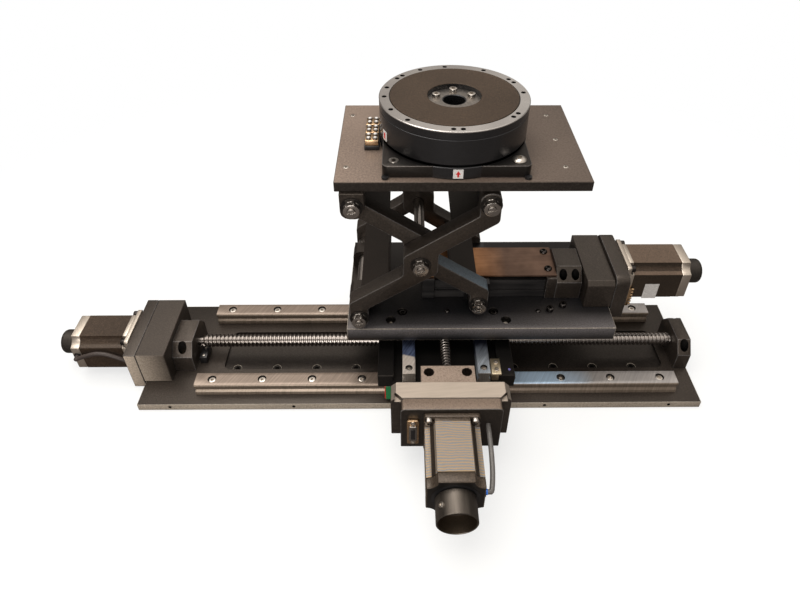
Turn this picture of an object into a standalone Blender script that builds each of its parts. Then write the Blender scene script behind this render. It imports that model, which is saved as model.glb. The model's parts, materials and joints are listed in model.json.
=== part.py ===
"""Motorized lab stage: a screw driven X slide, a Y slide across it, a scissor lift on top
and a rotary table on the lift.

Metres, +Z up. The origin is the middle of the base plate's underside, X runs along the
long rails and -Y is the side that the Y motor points to. Each linear drive is built in
its own frame, whose X axis is the screw and points to that drive's motor.
"""

from math import atan2, cos, hypot, pi, radians, sin, tan

import bmesh
import bpy
from mathutils import Matrix, Vector

# Fits
SEAT_GAP = 0.0003
TURNING_GAP = 0.0004
RAIL_GAP = 0.0005
CHAMFER = 0.0006
OVERRUN = 0.002
MERGE_DISTANCE = 0.000001

# Base plate and its pocket
BASE_LENGTH = 0.674
BASE_WIDTH = 0.166
BASE_THICKNESS = 0.010
POCKET_LEFT = 0.246
POCKET_RIGHT = 0.308
POCKET_FRONT = 0.0295
POCKET_REAR = 0.0335
POCKET_DEPTH = 0.0035
POCKET_RADIUS = 0.008
GRID_PITCH = 0.050
GRID_FIRST = 0.230
GRID_ROW = 0.025
GRID_COUNT = 11
GRID_BORE = 0.0105
GRID_BORE_DEPTH = 0.0045
EDGE_HOLE = 0.004
EDGE_HOLE_DEPTH = 0.008
EDGE_HOLE_SHARES = (-0.443, -0.224, 0.221, 0.443)

# X rails
X_RAIL_SHORTER = 0.094
X_RAIL_CENTRE = 0.020
X_RAIL_WIDTH = 0.020
X_RAIL_HEIGHT = 0.0175
X_RAIL_INSET = 0.024
X_RAIL_SPACING = BASE_WIDTH - 2 * X_RAIL_INSET
X_RAIL_PITCH = 0.060
X_RAIL_END = 0.020
X_RAIL_BORE = 0.0095
X_RAIL_BORE_DEPTH = 0.0055
RAIL_WAIST_SHARE = 0.76
RAIL_FOOT_SHARE = 0.30
RAIL_NECK_SHARES = (0.42, 0.60, 0.74)
RAIL_CROWN_SHARE = 0.93

# X bearing blocks on the rails
X_BLOCK_LENGTH = 0.0705
X_BLOCK_WIDTH = 0.044
X_BLOCK_HEIGHT = 0.030
X_BLOCK_CLEAR = 0.0046
X_BLOCK_SPACING = 0.0725
BLOCK_CAP_SHARE = 0.12
BLOCK_CAP_STEP = 0.0008

# X carriage: a saddle plate with two raised walls
CARRIAGE_X = 0.0295
SADDLE_WIDTH = 0.125
SADDLE_FRONT = 0.1242
SADDLE_REAR = 0.1545
SADDLE_THICKNESS = 0.011
WALL_THICKNESS = 0.0185
WALL_HEIGHT = 0.0195
WALL_LENGTH = 0.164
NUT_CHANNEL_WIDTH = 0.032
NUT_CHANNEL_DEPTH = 0.0055
NUT_LENGTH = 0.044
NUT_WIDTH = 0.052
NUT_BELOW = 0.017
Y_NUT_LENGTH = 0.034
Y_NUT_WIDTH = 0.040
Y_NUT_BELOW = 0.012

# Y rails and blocks
Y_RAIL_LENGTH = 0.220
Y_RAIL_FRONT = 0.0842
Y_RAIL_WIDTH = 0.015
Y_RAIL_HEIGHT = 0.0147
Y_RAIL_SPACING = 0.086
Y_RAIL_END = 0.0085
Y_RAIL_BORE = 0.0075
Y_RAIL_BORE_DEPTH = 0.0053
Y_BLOCK_LENGTH = 0.098
Y_BLOCK_WIDTH = 0.034
Y_BLOCK_HEIGHT = 0.028
Y_BLOCK_CLEAR = 0.0043

# Z base plate on the Y carriage
LIFT_Y = 0.035
Z_PLATE_LENGTH = 0.3115
Z_PLATE_WIDTH = 0.1605
Z_PLATE_THICKNESS = 0.019
Z_PLATE_LEFT = 0.1145
Z_BORE = 0.0095
Z_BORE_DEPTH = 0.006
Z_BORE_SPREAD = 0.1349
Z_BORE_OFFSET = -0.0035
Z_BORE_INSET = 0.0145

# Screws: diameters and heights of their axes over the face that carries them
X_AXIS_HEIGHT = 0.021
X_SCREW = 0.016
Y_AXIS_HEIGHT = 0.017
Y_SCREW = 0.012
Z_AXIS_HEIGHT = 0.0175
Z_SCREW = 0.012
JOURNAL = 0.010
COUPLING = 0.025
COUPLING_LENGTH = 0.022
COUPLING_CLEAR = 0.0008
MOTOR_SHAFT = 0.00635
SHAFT_SHORT = 0.005

# Motors
MOTOR_SIZE = 0.0566
MOTOR_FLANGE_SIZE = 0.0570
MOTOR_FLANGE = 0.0096
MOTOR_FLAT = 0.0356
MOTOR_GROOVE_STEPS = 5
FLANGE_CORNER = 0.004
MOTOR_SHAFT_BORE = 0.012
SHORT_MOTOR = 0.0727
LONG_MOTOR = 0.0757
Z_MOTOR = 0.0782
KNOB = 0.030
KNOB_LENGTH = 0.0222
KNOB_ROUND = 0.005
KNOB_NECK = 0.020
KNOB_NECK_LENGTH = 0.004
CUP = 0.040
CUP_LENGTH = 0.0247
CUP_WALL = 0.0016
CUP_FLOOR = 0.007

# X drive, distances from the base plate's ends
X_BEARING_INSET = 0.057
X_BEARING_LENGTH = 0.024
X_END_INSET = 0.017
X_END_LENGTH = 0.0165
BLOCK_HALF_WIDTH = 0.031
BLOCK_TOP_HALF = 0.0185
BLOCK_HEIGHT = 0.039
BLOCK_SHOULDER = 0.0235
BLOCK_BORE = 0.0104
BLOCK_BORE_SPREAD = 0.046
BLOCK_BORE_FLOOR = 0.009
X_BRACKET_REACH = 0.0016
X_BRACKET_LENGTH = 0.0343
X_BRACKET_WIDTH = 0.0958
X_BRACKET_HEIGHT = 0.0465
X_FLANGE_LENGTH = 0.0141
X_FLANGE_BOTTOM = 0.0005
FLANGE_BORE = 0.022

# Y drive, places along the screw from the X axis plane
Y_BEARING_AT = 0.0858
Y_BEARING_LENGTH = 0.024
Y_BEARING_WIDTH = 0.0605
Y_BEARING_HEIGHT = 0.0305
Y_BEARING_BORE = 0.012
Y_BEARING_BORE_SPREAD = 0.042
Y_BEARING_BORE_AT = 0.0095
Y_BEARING_BORE_FLOOR = 0.010
Y_END_AT = 0.1245
Y_END_LENGTH = 0.015
Y_END_HEIGHT = 0.0265
Y_END_WIDTH = 0.044
Y_BRACKET_LENGTH = 0.0207
Y_BRACKET_WIDTH = 0.125
Y_BRACKET_WING = 0.0555
Y_BRACKET_TOP = 0.0615
Y_BRACKET_TOP_WIDTH = 0.113
Y_BRACKET_TOP_CUT = 0.0082
Y_FLANGE_LENGTH = 0.0140
Y_FLANGE_WIDTH = 0.1045
Y_FLANGE_TOP = 0.0335
Y_FLANGE_BOTTOM = 0.0305
Y_FLANGE_RADIUS = 0.005

# Z drive, places along the screw from the carriage's middle
Z_BEARING_AT = 0.1338
Z_BEARING_LENGTH = 0.0301
Z_BLOCK_HALF_WIDTH = 0.0306
Z_BLOCK_TOP_HALF = 0.0167
Z_BLOCK_HEIGHT = 0.0397
Z_BLOCK_SHOULDER = 0.025
Z_BLOCK_BORE = 0.0095
Z_BLOCK_BORE_SPREAD = 0.0475
Z_BLOCK_BORE_PITCH = 0.0145
Z_BRACKET_AT = 0.1655
Z_BRACKET_LENGTH = 0.0330
Z_BRACKET_WIDTH = 0.092
Z_BRACKET_HEIGHT = 0.038
Z_BRACKET_BEVEL = 0.005
Z_FLANGE_LENGTH = 0.0165
Z_FLANGE_DROP = 0.0164
Z_FLANGE_RISE = 0.0258
Z_FLANGE_RADIUS = 0.010

# Lift drive: channel rail, its cover and its end block
GUIDE_LEFT = 0.0270
GUIDE_END_LENGTH = 0.015
GUIDE_FOOT_WIDTH = 0.0542
GUIDE_FOOT_HEIGHT = 0.0105
GUIDE_WIDTH = 0.0492
GUIDE_HEIGHT = 0.0245
GUIDE_CHANNEL = 0.0350
GUIDE_FLOOR = 0.0065
GUIDE_END_WIDTH = 0.060
GUIDE_END_HEIGHT = 0.0311
COVER_WIDTH = 0.0525
COVER_THICKNESS = 0.002
LUG_LENGTH = 0.012

# Scissor arms: half spans between pivots and the dog leg form
ARM_REACH = 0.0685
ARM_RISE = 0.07785
ARM_THICKNESS = 0.020
ARM_RUN_ANGLE = radians(34.3)
ARM_RUN_WIDTH = 0.018
ARM_RUN_OFFSET = 0.0109
ARM_HUB_WIDTH = 0.037
ARM_TAB_WIDTH = 0.021
ARM_TAB_END = 0.013
ARM_END_RADIUS = 0.009
ARM_SHOULDER_RADIUS = 0.007
ARM_HUB_RADIUS = 0.008
ARM_INNER_RADIUS = 0.003
ARM_A_FACE = 0.0795
ARM_B_FACE = 0.0585
TIE_INNER = 0.031
TIE_OUTER = 0.0625
TIE_THICKNESS = 0.005
TIE_OFFSET = 0.005
PIVOT = 0.012
STUD_END = 0.005
COLLAR = 0.018
LIFT_LEFT = 0.099
LOWER_EAR_OUTER = 0.0455
LOWER_EAR_THICKNESS = 0.020
LOWER_EAR_WIDTH = 0.027
LOWER_EAR_ABOVE = 0.010
LOWER_FOOT = 0.0052
UPPER_EAR_OUTER = 0.0825
UPPER_EAR_THICKNESS = 0.0235
UPPER_EAR_WIDTH = 0.024
UPPER_EAR_BELOW = 0.0150

# Sliders at the right hand pivots
SLIDER_LENGTH = 0.029
SLIDER_CORE_BELOW = 0.0095
SLIDER_CORE_ABOVE = 0.0100
SLIDER_WING_BELOW = 0.0083
SLIDER_WING_ABOVE = 0.0137
SLIDER_CHEEK_INNER = 0.0282
SLIDER_CHEEK_OUTER = 0.0382
SLIDER_CHEEK_BELOW = 0.012
UPPER_SLIDER_LENGTH = 0.022
UPPER_SLIDER_BELOW = 0.010
UPPER_SLIDER_CHEEK = 0.007

# Top plate and the tongue that guides the upper slider
TOP_LENGTH = 0.250
TOP_WIDTH = 0.163
TOP_THICKNESS = 0.0109
TOP_ABOVE_PIVOT = 0.0156
TOP_LEFT = 0.0165
TOP_FRONT = 0.0788
TONGUE_WIDTH = 0.030
TONGUE_HEIGHT = 0.0072
TONGUE_LENGTH = 0.106
TONGUE_AT = 0.0975
TOP_HOLE = 0.0055
TOP_HOLE_DEPTH = 0.008
TOP_HOLE_COLUMNS = (0.0102, 0.2280)
TOP_HOLE_ROWS = (0.0278, 0.0825, 0.1375)

# Rotary stage
ROTARY_FROM_PIVOT = 0.1019
ROTARY_FROM_AXIS = 0.0009
ROTARY_FLANGE = 0.144
ROTARY_FLANGE_HEIGHT = 0.0128
ROTARY_FLANGE_RADIUS = 0.006
ROTARY_FLANGE_HOLE = 0.006
ROTARY_FLANGE_HOLE_AT = 0.0608
ROTARY_BODY = 0.1514
ROTARY_BODY_HEIGHT = 0.0422
TABLE = 0.1518
TABLE_HEIGHT = 0.0090
TABLE_DISC = 0.130
TABLE_DISC_RISE = 0.0004
TABLE_GROOVE = 0.0008
TABLE_RECESS = 0.0544
TABLE_RECESS_DEPTH = 0.005
TABLE_BORE = 0.0225
TABLE_SPIGOT_DEPTH = 0.008
TABLE_SPIGOT_WALL = 0.0035
TABLE_HOLE = 0.0046
TABLE_HOLE_DEPTH = 0.005
TABLE_HOLE_CIRCLE = 0.141
TABLE_HOLE_PAIR = 7.2
TABLE_HOLE_PAIRS = (141.4, 29.0, -37.6, -90.6)
TABLE_HOLE_SINGLES = (-132.0, -154.0, -177.8, 4.9, 165.0, 60.0, 95.0, 118.0)
SOCKET_FRONT = 0.0199
SOCKET_PLATE = 0.004
SOCKET_DEPTH = 0.0115
SOCKET_HEIGHT = 0.0125
SOCKET_PITCH = 0.0173
SOCKET_COUNT = 3
SOCKET_SHELL_GAP = 0.0024
SOCKET_RIM = 0.0008

# Y drive's own connector and the motor leads
PLUG_WIDTH = 0.0125
PLUG_HEIGHT = 0.0392
PLUG_DEPTH = 0.003
PLUG_SHELL_WIDTH = 0.0083
PLUG_SHELL_HEIGHT = 0.0255
PLUG_SHELL_DEPTH = 0.006
PLUG_SIDE = 0.0395
PLUG_DROP = 0.0008
LEAD = 0.0052
LEAD_TURN = 0.0055
LEAD_STEPS = 2

# Facets
ROUND_STEPS = 24
TABLE_STEPS = 64
HOLE_STEPS = 10
SMALL_HOLE_STEPS = 8
ARC_STEPS = 3
RIM_STEPS = 4
SHARP_ANGLE = radians(34.0)
BEVELLED_ANGLE = radians(30.0)
CHAMFER_PROFILE = 0.5

# Places that follow from the sizes above
X_RAIL_LENGTH = BASE_LENGTH - X_RAIL_SHORTER
X_BEARING_AT = BASE_LENGTH / 2 - X_BEARING_INSET
X_END_AT = BASE_LENGTH / 2 - X_END_INSET
X_BRACKET_AT = BASE_LENGTH / 2 + X_BRACKET_REACH - X_BRACKET_LENGTH
X_AXIS_Z = BASE_THICKNESS + X_AXIS_HEIGHT
SADDLE_Z = BASE_THICKNESS + X_BLOCK_HEIGHT + SEAT_GAP
SADDLE_TOP = SADDLE_Z + SADDLE_THICKNESS
Y_AXIS_Z = SADDLE_TOP + Y_AXIS_HEIGHT
Z_PLATE_Z = SADDLE_TOP + Y_BLOCK_HEIGHT
Z_PLATE_TOP = Z_PLATE_Z + Z_PLATE_THICKNESS
Z_AXIS_Z = Z_PLATE_TOP + Z_AXIS_HEIGHT


def clear_scene():
    for item in list(bpy.data.objects):
        bpy.data.objects.remove(item, do_unlink=True)


def material(name, colour, roughness, metallic):
    """A Principled material with one plain colour."""
    found = bpy.data.materials.get(name)
    if found:
        return found
    made = bpy.data.materials.new(name)
    made.use_nodes = True
    shader = made.node_tree.nodes["Principled BSDF"]
    shader.inputs["Base Color"].default_value = (*colour, 1.0)
    shader.inputs["Roughness"].default_value = roughness
    shader.inputs["Metallic"].default_value = metallic
    made.diffuse_color = (*colour, 1.0)
    return made


def anodised():
    return material("black_anodised", (0.030, 0.027, 0.025), 0.42, 0.55)


def brushed():
    return material("brushed_steel", (0.62, 0.60, 0.57), 0.30, 1.0)


def screw_steel():
    return material("screw_steel", (0.55, 0.54, 0.53), 0.22, 1.0)


def motor_steel():
    return material("motor_body", (0.055, 0.045, 0.038), 0.45, 0.4)


def block_steel():
    return material("block_steel", (0.40, 0.40, 0.41), 0.35, 0.9)


def copper_sheet():
    return material("copper_sheet", (0.36, 0.17, 0.09), 0.38, 0.9)


def gold_contacts():
    return material("gold_contacts", (0.80, 0.62, 0.30), 0.30, 1.0)


def lead_sleeve():
    return material("lead_sleeve", (0.10, 0.09, 0.09), 0.55, 0.0)


def lead_grey():
    return material("lead_grey", (0.42, 0.42, 0.42), 0.5, 0.0)


# Frames: one empty on each joint's axis


def frame(name, parent, place, turn=0.0):
    """An empty at a world place, turned about Z."""
    made = bpy.data.objects.new(name, None)
    made.empty_display_size = KNOB
    bpy.context.scene.collection.objects.link(made)
    world = Matrix.Translation(Vector(place)) @ Matrix.Rotation(turn, 4, "Z")
    made.parent = parent
    if parent:
        made.matrix_parent_inverse = Matrix.Identity(4)
        made.matrix_local = parent.matrix_world.inverted() @ world
    else:
        made.matrix_local = world
    bpy.context.view_layer.update()
    return made


def add(name, mesh_builder, parent, look):
    """A named object from a bmesh, placed in its parent's frame."""
    mesh = bpy.data.meshes.new(name)
    bmesh.ops.recalc_face_normals(mesh_builder, faces=mesh_builder.faces)
    mesh_builder.to_mesh(mesh)
    mesh_builder.free()
    made = bpy.data.objects.new(name, mesh)
    bpy.context.scene.collection.objects.link(made)
    made.parent = parent
    if look:
        mesh.materials.append(look)
    return made


def smooth(item):
    item.data.shade_smooth()
    item.data.set_sharp_from_angle(angle=SHARP_ANGLE)
    return item


# Outlines: lists of (u, v) points


def rectangle(width, height, middle=(0.0, 0.0)):
    u, v = middle
    return [
        (u - width / 2, v - height / 2),
        (u + width / 2, v - height / 2),
        (u + width / 2, v + height / 2),
        (u - width / 2, v + height / 2),
    ]


def rounded(points, radii, steps=ARC_STEPS):
    """A polygon whose corners are arcs, one radius to a corner."""
    outline = []
    count = len(points)
    for index, radius in enumerate(radii):
        corner = Vector(points[index])
        before = (Vector(points[index - 1]) - corner).normalized()
        after = (Vector(points[(index + 1) % count]) - corner).normalized()
        if radius == 0.0:
            outline.append(tuple(corner))
            continue
        half = before.angle(after) / 2
        centre = corner + (before + after).normalized() * radius / sin(half)
        first = corner + before * radius / tan(half) - centre
        last = corner + after * radius / tan(half) - centre
        start = atan2(first.y, first.x)
        sweep = atan2(first.x * last.y - first.y * last.x, first.dot(last))
        for step in range(steps + 1):
            angle = start + sweep * step / steps
            outline.append((centre.x + radius * cos(angle), centre.y + radius * sin(angle)))
    return outline


def circle(radius, middle=(0.0, 0.0), steps=HOLE_STEPS):
    turns = [2 * pi * (step + 0.5) / steps for step in range(steps)]
    return [(middle[0] + radius * cos(turn), middle[1] + radius * sin(turn)) for turn in turns]


AXES = {
    "X": lambda along, u, v: (along, u, v),
    "Y": lambda along, u, v: (u, along, v),
    "Z": lambda along, u, v: (u, v, along),
}


def prism(outline, axis, start, end, chamfer=0.0):
    """An outline drawn square to an axis and extruded along it, with its edges chamfered."""
    builder = bmesh.new()
    place = AXES[axis]
    near = [builder.verts.new(place(start, u, v)) for u, v in outline]
    face = builder.faces.new(near)
    grown = bmesh.ops.extrude_face_region(builder, geom=[face])
    moved = [item for item in grown["geom"] if isinstance(item, bmesh.types.BMVert)]
    bmesh.ops.translate(builder, verts=moved, vec=place(end - start, 0.0, 0.0))
    bmesh.ops.recalc_face_normals(builder, faces=builder.faces)
    if chamfer:
        edges = [edge for edge in builder.edges if edge.calc_face_angle(0.0) > BEVELLED_ANGLE]
        bmesh.ops.bevel(
            builder,
            geom=edges,
            offset=chamfer,
            segments=1,
            profile=CHAMFER_PROFILE,
            affect="EDGES",
        )
    return builder


def box(x, y, z, chamfer=0.0):
    """A box from three (low, high) pairs."""
    outline = [(y[0], z[0]), (y[1], z[0]), (y[1], z[1]), (y[0], z[1])]
    return prism(outline, "X", x[0], x[1], chamfer)


def rod(diameter, axis, start, end, middle=(0.0, 0.0), steps=HOLE_STEPS):
    return prism(circle(diameter / 2, middle, steps), axis, start, end)


def turned(profile, axis, steps=ROUND_STEPS, middle=(0.0, 0.0)):
    """A profile of (along, radius) points spun about an axis; a closed ring or axis to axis."""
    builder = bmesh.new()
    place = AXES[axis]
    verts = [builder.verts.new(place(along, radius, 0.0)) for along, radius in profile]
    edges = [builder.edges.new(pair) for pair in zip(verts, verts[1:])]
    if profile[0][1] > 0.0:
        edges.append(builder.edges.new((verts[-1], verts[0])))
    bmesh.ops.spin(
        builder,
        geom=verts + edges,
        cent=(0.0, 0.0, 0.0),
        axis=place(1.0, 0.0, 0.0),
        angle=2 * pi,
        steps=steps,
        use_merge=True,
    )
    bmesh.ops.remove_doubles(builder, verts=builder.verts, dist=MERGE_DISTANCE)
    bmesh.ops.dissolve_degenerate(builder, edges=builder.edges, dist=MERGE_DISTANCE)
    bmesh.ops.translate(builder, verts=builder.verts, vec=place(0.0, *middle))
    bmesh.ops.recalc_face_normals(builder, faces=builder.faces)
    return builder


# Booleans


def combine(body, tools, operation):
    """Cuts tools from a body or joins them to it, and leaves one plain mesh."""
    joined = bmesh.new()
    for tool in tools:
        part = bpy.data.meshes.new("tool")
        tool.to_mesh(part)
        tool.free()
        joined.from_mesh(part)
        bpy.data.meshes.remove(part)
    cutter = add("cutter", joined, body.parent, None)
    cutter.hide_render = True
    cutter.display_type = "WIRE"
    modifier = body.modifiers.new(operation.lower(), "BOOLEAN")
    modifier.operation = operation
    modifier.object = cutter
    bpy.context.view_layer.update()
    shaped = bpy.data.meshes.new_from_object(
        body.evaluated_get(bpy.context.evaluated_depsgraph_get())
    )
    body.modifiers.clear()
    spent = body.data
    body.data = shaped
    shaped.name = body.name
    bpy.data.meshes.remove(spent)
    tool_mesh = cutter.data
    bpy.data.objects.remove(cutter, do_unlink=True)
    bpy.data.meshes.remove(tool_mesh)
    return body


def cut(body, *tools):
    return combine(body, tools, "DIFFERENCE")


def unite(body, *tools):
    for tool in tools:
        combine(body, [tool], "UNION")
    return body


# Linear guides


def rail_outline(width, height, foot):
    """Half the section of a profile rail, from its foot to the middle of its crown."""
    low, mid, high = (share * height for share in RAIL_NECK_SHARES)
    half = width / 2
    waist = half * RAIL_WAIST_SHARE
    crown = height * RAIL_CROWN_SHARE
    bevel = height - crown
    right = [
        (half, 0.0),
        (half, height * RAIL_FOOT_SHARE),
        (waist, low),
        (waist, mid),
        (half, high),
        (half, crown),
        (half - bevel, height),
    ]
    left = [(-u, v) for u, v in reversed(right)]
    return [(u, v + foot) for u, v in right + left]


def rail(name, parent, axis, side, foot, size, length, start, holes, bore):
    """A profile rail with counterbored screw holes along its crown."""
    width, height = size
    pitch, inset = holes
    diameter, depth = bore
    outline = [(side + u, v) for u, v in rail_outline(width, height, foot)]
    made = add(name, prism(outline, axis, start, start + length), parent, brushed())
    count = int(round((length - 2 * inset) / pitch, 6)) + 1
    tools = []
    for index in range(count):
        along = start + inset + pitch * index
        middle = (along, side) if axis == "X" else (side, along)
        top = foot + height
        tools.append(rod(diameter, "Z", top - depth, top + OVERRUN, middle))
    return cut(made, *tools)


def block_outline(rail_size, size, clear, side, foot):
    """A bearing block's section: an arch that follows the rail at the rail gap."""
    width, height = size
    rail_width, rail_height = rail_size
    half = width / 2
    corner = clear / 2
    outer = [
        (half, clear),
        (half, height - corner),
        (half - corner, height),
        (corner - half, height),
        (-half, height - corner),
        (-half, clear),
    ]
    section = rail_outline(rail_width, rail_height, 0.0)
    inner = []
    for u, v in section:
        if v < clear:
            continue
        lift = RAIL_GAP if v > rail_height * RAIL_NECK_SHARES[2] else 0.0
        inner.append((u + (RAIL_GAP if u > 0.0 else -RAIL_GAP), v + lift))
    mouth = rail_width / 2 + RAIL_GAP
    arch = [(-mouth, clear)] + list(reversed(inner)) + [(mouth, clear)]
    return [(side + u, foot + v) for u, v in outer + arch]


def bearing_block(name, parent, axis, side, foot, rail_size, size, clear, middle, length):
    """A rail block: steel body between two end caps that stand back from its outer faces."""
    cap = length * BLOCK_CAP_SHARE
    outline = block_outline(rail_size, size, clear, side, foot)
    start = middle - length / 2
    made = add(name, prism(outline, axis, start, start + length), parent, block_steel())
    width, height = size
    half = width / 2
    inset = half - BLOCK_CAP_STEP
    low = foot + clear - OVERRUN
    top = foot + height
    tools = []
    end = start + length
    for near, far in ((start - OVERRUN, start + cap), (end - cap, end + OVERRUN)):
        for face in (-1, 1):
            inner, outer = sorted((side + face * inset, side + face * (half + OVERRUN)))
            shoulder = top - BLOCK_CAP_STEP
            step = [(inner, low), (outer, low), (outer, shoulder), (inner, shoulder)]
            tools.append(prism(step, axis, near, far))
    for tool in tools:
        cut(made, tool)
    return made


# Screw drives: every place is along the drive's own screw, towards its motor


def shouldered(half_width, top_half, shoulder, height, floor):
    """Section of an end block with sloping shoulders, standing on a floor."""
    return [
        (-half_width, floor),
        (half_width, floor),
        (half_width, floor + shoulder),
        (top_half, floor + height),
        (-top_half, floor + height),
        (-half_width, floor + shoulder),
    ]


def shoulder_bores(diameter, spread, places, floor, top):
    tools = []
    for along in places:
        for side in (-spread / 2, spread / 2):
            tools.append(rod(diameter, "Z", floor, top + OVERRUN, (along, side)))
    return tools


def axis_bore(diameter, start, end):
    return rod(diameter, "X", start - OVERRUN, end + OVERRUN, steps=ROUND_STEPS)


def motor_outline():
    """A square with a hollow arc round each corner, where the long screws run."""
    half = MOTOR_SIZE / 2
    flat = MOTOR_FLAT / 2
    reach = half - flat
    outline = []
    for quarter in range(4):
        turn = quarter * pi / 2
        for step in range(MOTOR_GROOVE_STEPS + 1):
            angle = -pi / 2 - (pi / 2) * step / MOTOR_GROOVE_STEPS
            u = half + reach * cos(angle)
            v = half + reach * sin(angle)
            outline.append((u * cos(turn) - v * sin(turn), u * sin(turn) + v * cos(turn)))
    return outline


def motor(name, drive, start, length):
    """Front flange, finned body and rear cap, bored for its shaft at both ends."""
    end = start + length
    body = prism(motor_outline(), "X", start + OVERRUN, end, CHAMFER)
    made = add(name, body, drive, motor_steel())
    square = rounded(rectangle(MOTOR_FLANGE_SIZE, MOTOR_FLANGE_SIZE), [FLANGE_CORNER] * 4)
    unite(made, prism(square, "X", start, start + MOTOR_FLANGE))
    clear = MOTOR_SHAFT + 2 * TURNING_GAP
    return cut(
        made,
        rod(clear, "X", start - OVERRUN, start + MOTOR_SHAFT_BORE),
        rod(clear, "X", end - MOTOR_SHAFT_BORE, end + OVERRUN),
    )


def knob(name, drive, start):
    """A closed knob with a rounded rim, on the motor's rear shaft."""
    end = start + KNOB_LENGTH
    radius = KNOB / 2
    rim = []
    for step in range(RIM_STEPS + 1):
        turn = step * pi / 2 / RIM_STEPS
        along = end - KNOB_ROUND + KNOB_ROUND * sin(turn)
        rim.append((along, radius - KNOB_ROUND + KNOB_ROUND * cos(turn)))
    profile = [
        (start - MOTOR_SHAFT_BORE + SHAFT_SHORT, 0.0),
        (start - MOTOR_SHAFT_BORE + SHAFT_SHORT, MOTOR_SHAFT / 2),
        (start, MOTOR_SHAFT / 2),
        (start, KNOB_NECK / 2),
        (start + KNOB_NECK_LENGTH, KNOB_NECK / 2),
        (start + KNOB_NECK_LENGTH, radius),
    ]
    return smooth(add(name, turned(profile + rim + [(end, 0.0)], "X"), drive, anodised()))


def cup_knob(name, drive, start):
    """A thin walled cup with a hub, open to the front."""
    end = start + CUP_LENGTH
    profile = [
        (start - MOTOR_SHAFT_BORE + SHAFT_SHORT, 0.0),
        (start - MOTOR_SHAFT_BORE + SHAFT_SHORT, MOTOR_SHAFT / 2),
        (start, MOTOR_SHAFT / 2),
        (start, CUP / 2),
        (end, CUP / 2),
        (end, CUP / 2 - CUP_WALL),
        (start + CUP_FLOOR, CUP / 2 - CUP_WALL),
        (start + CUP_FLOOR, 0.0),
    ]
    return smooth(add(name, turned(profile, "X"), drive, anodised()))


def screw(name, drive, far, near, diameter, bearing_end, motor_start, far_journal):
    """The screw with its journals, the coupling and the motor's front shaft."""
    coupling = bearing_end + TURNING_GAP * 2 + CHAMFER
    profile = [
        (far - far_journal, 0.0),
        (far - far_journal, JOURNAL / 2),
        (far, JOURNAL / 2),
        (far, diameter / 2),
        (near, diameter / 2),
        (near, JOURNAL / 2),
        (coupling, JOURNAL / 2),
        (coupling, COUPLING / 2),
        (coupling + COUPLING_LENGTH, COUPLING / 2),
        (coupling + COUPLING_LENGTH, MOTOR_SHAFT / 2),
        (motor_start + MOTOR_SHAFT_BORE - SHAFT_SHORT, MOTOR_SHAFT / 2),
        (motor_start + MOTOR_SHAFT_BORE - SHAFT_SHORT, 0.0),
    ]
    return smooth(add(name, turned(profile, "X"), drive, screw_steel()))


def drive_nut(name, parent, axis_z, size, foot_z, top_z, screw_size, look):
    """A nut housing that hangs under a plate, bored for the screw."""
    length, width = size
    housing = box((-length / 2, length / 2), (-width / 2, width / 2), (foot_z, top_z), CHAMFER)
    made = add(name, housing, parent, look)
    bore = screw_size + 2 * TURNING_GAP
    return cut(made, rod(bore, "X", -length, length, (0.0, axis_z), ROUND_STEPS))


# The three linear units


def build_base():
    stage = frame("stage", None, (0.0, 0.0, 0.0))
    half = BASE_LENGTH / 2
    plate = add(
        "base_plate",
        box((-half, half), (-BASE_WIDTH / 2, BASE_WIDTH / 2), (0.0, BASE_THICKNESS), CHAMFER),
        stage,
        anodised(),
    )
    corners = [
        (-POCKET_LEFT, -POCKET_FRONT),
        (POCKET_RIGHT, -POCKET_FRONT),
        (POCKET_RIGHT, POCKET_REAR),
        (-POCKET_LEFT, POCKET_REAR),
    ]
    floor = BASE_THICKNESS - POCKET_DEPTH
    cut(plate, prism(rounded(corners, [POCKET_RADIUS] * 4), "Z", floor, BASE_THICKNESS + OVERRUN))
    bores = []
    for index in range(GRID_COUNT):
        middle = (GRID_PITCH * index - GRID_FIRST, -GRID_ROW)
        bores.append(rod(GRID_BORE, "Z", floor - GRID_BORE_DEPTH, floor + OVERRUN, middle))
    cut(plate, *bores)
    front = -BASE_WIDTH / 2
    cut(
        plate,
        *[
            rod(
                EDGE_HOLE,
                "Y",
                front - OVERRUN,
                front + EDGE_HOLE_DEPTH,
                (share * BASE_LENGTH, BASE_THICKNESS / 2),
                steps=SMALL_HOLE_STEPS,
            )
            for share in EDGE_HOLE_SHARES
        ],
    )
    for name, side in (("x_rail_front", -1), ("x_rail_rear", 1)):
        rail(
            name,
            stage,
            "X",
            side * X_RAIL_SPACING / 2,
            BASE_THICKNESS + SEAT_GAP,
            (X_RAIL_WIDTH, X_RAIL_HEIGHT),
            X_RAIL_LENGTH,
            X_RAIL_CENTRE - X_RAIL_LENGTH / 2,
            (X_RAIL_PITCH, X_RAIL_END),
            (X_RAIL_BORE, X_RAIL_BORE_DEPTH),
        )
    return stage


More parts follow.
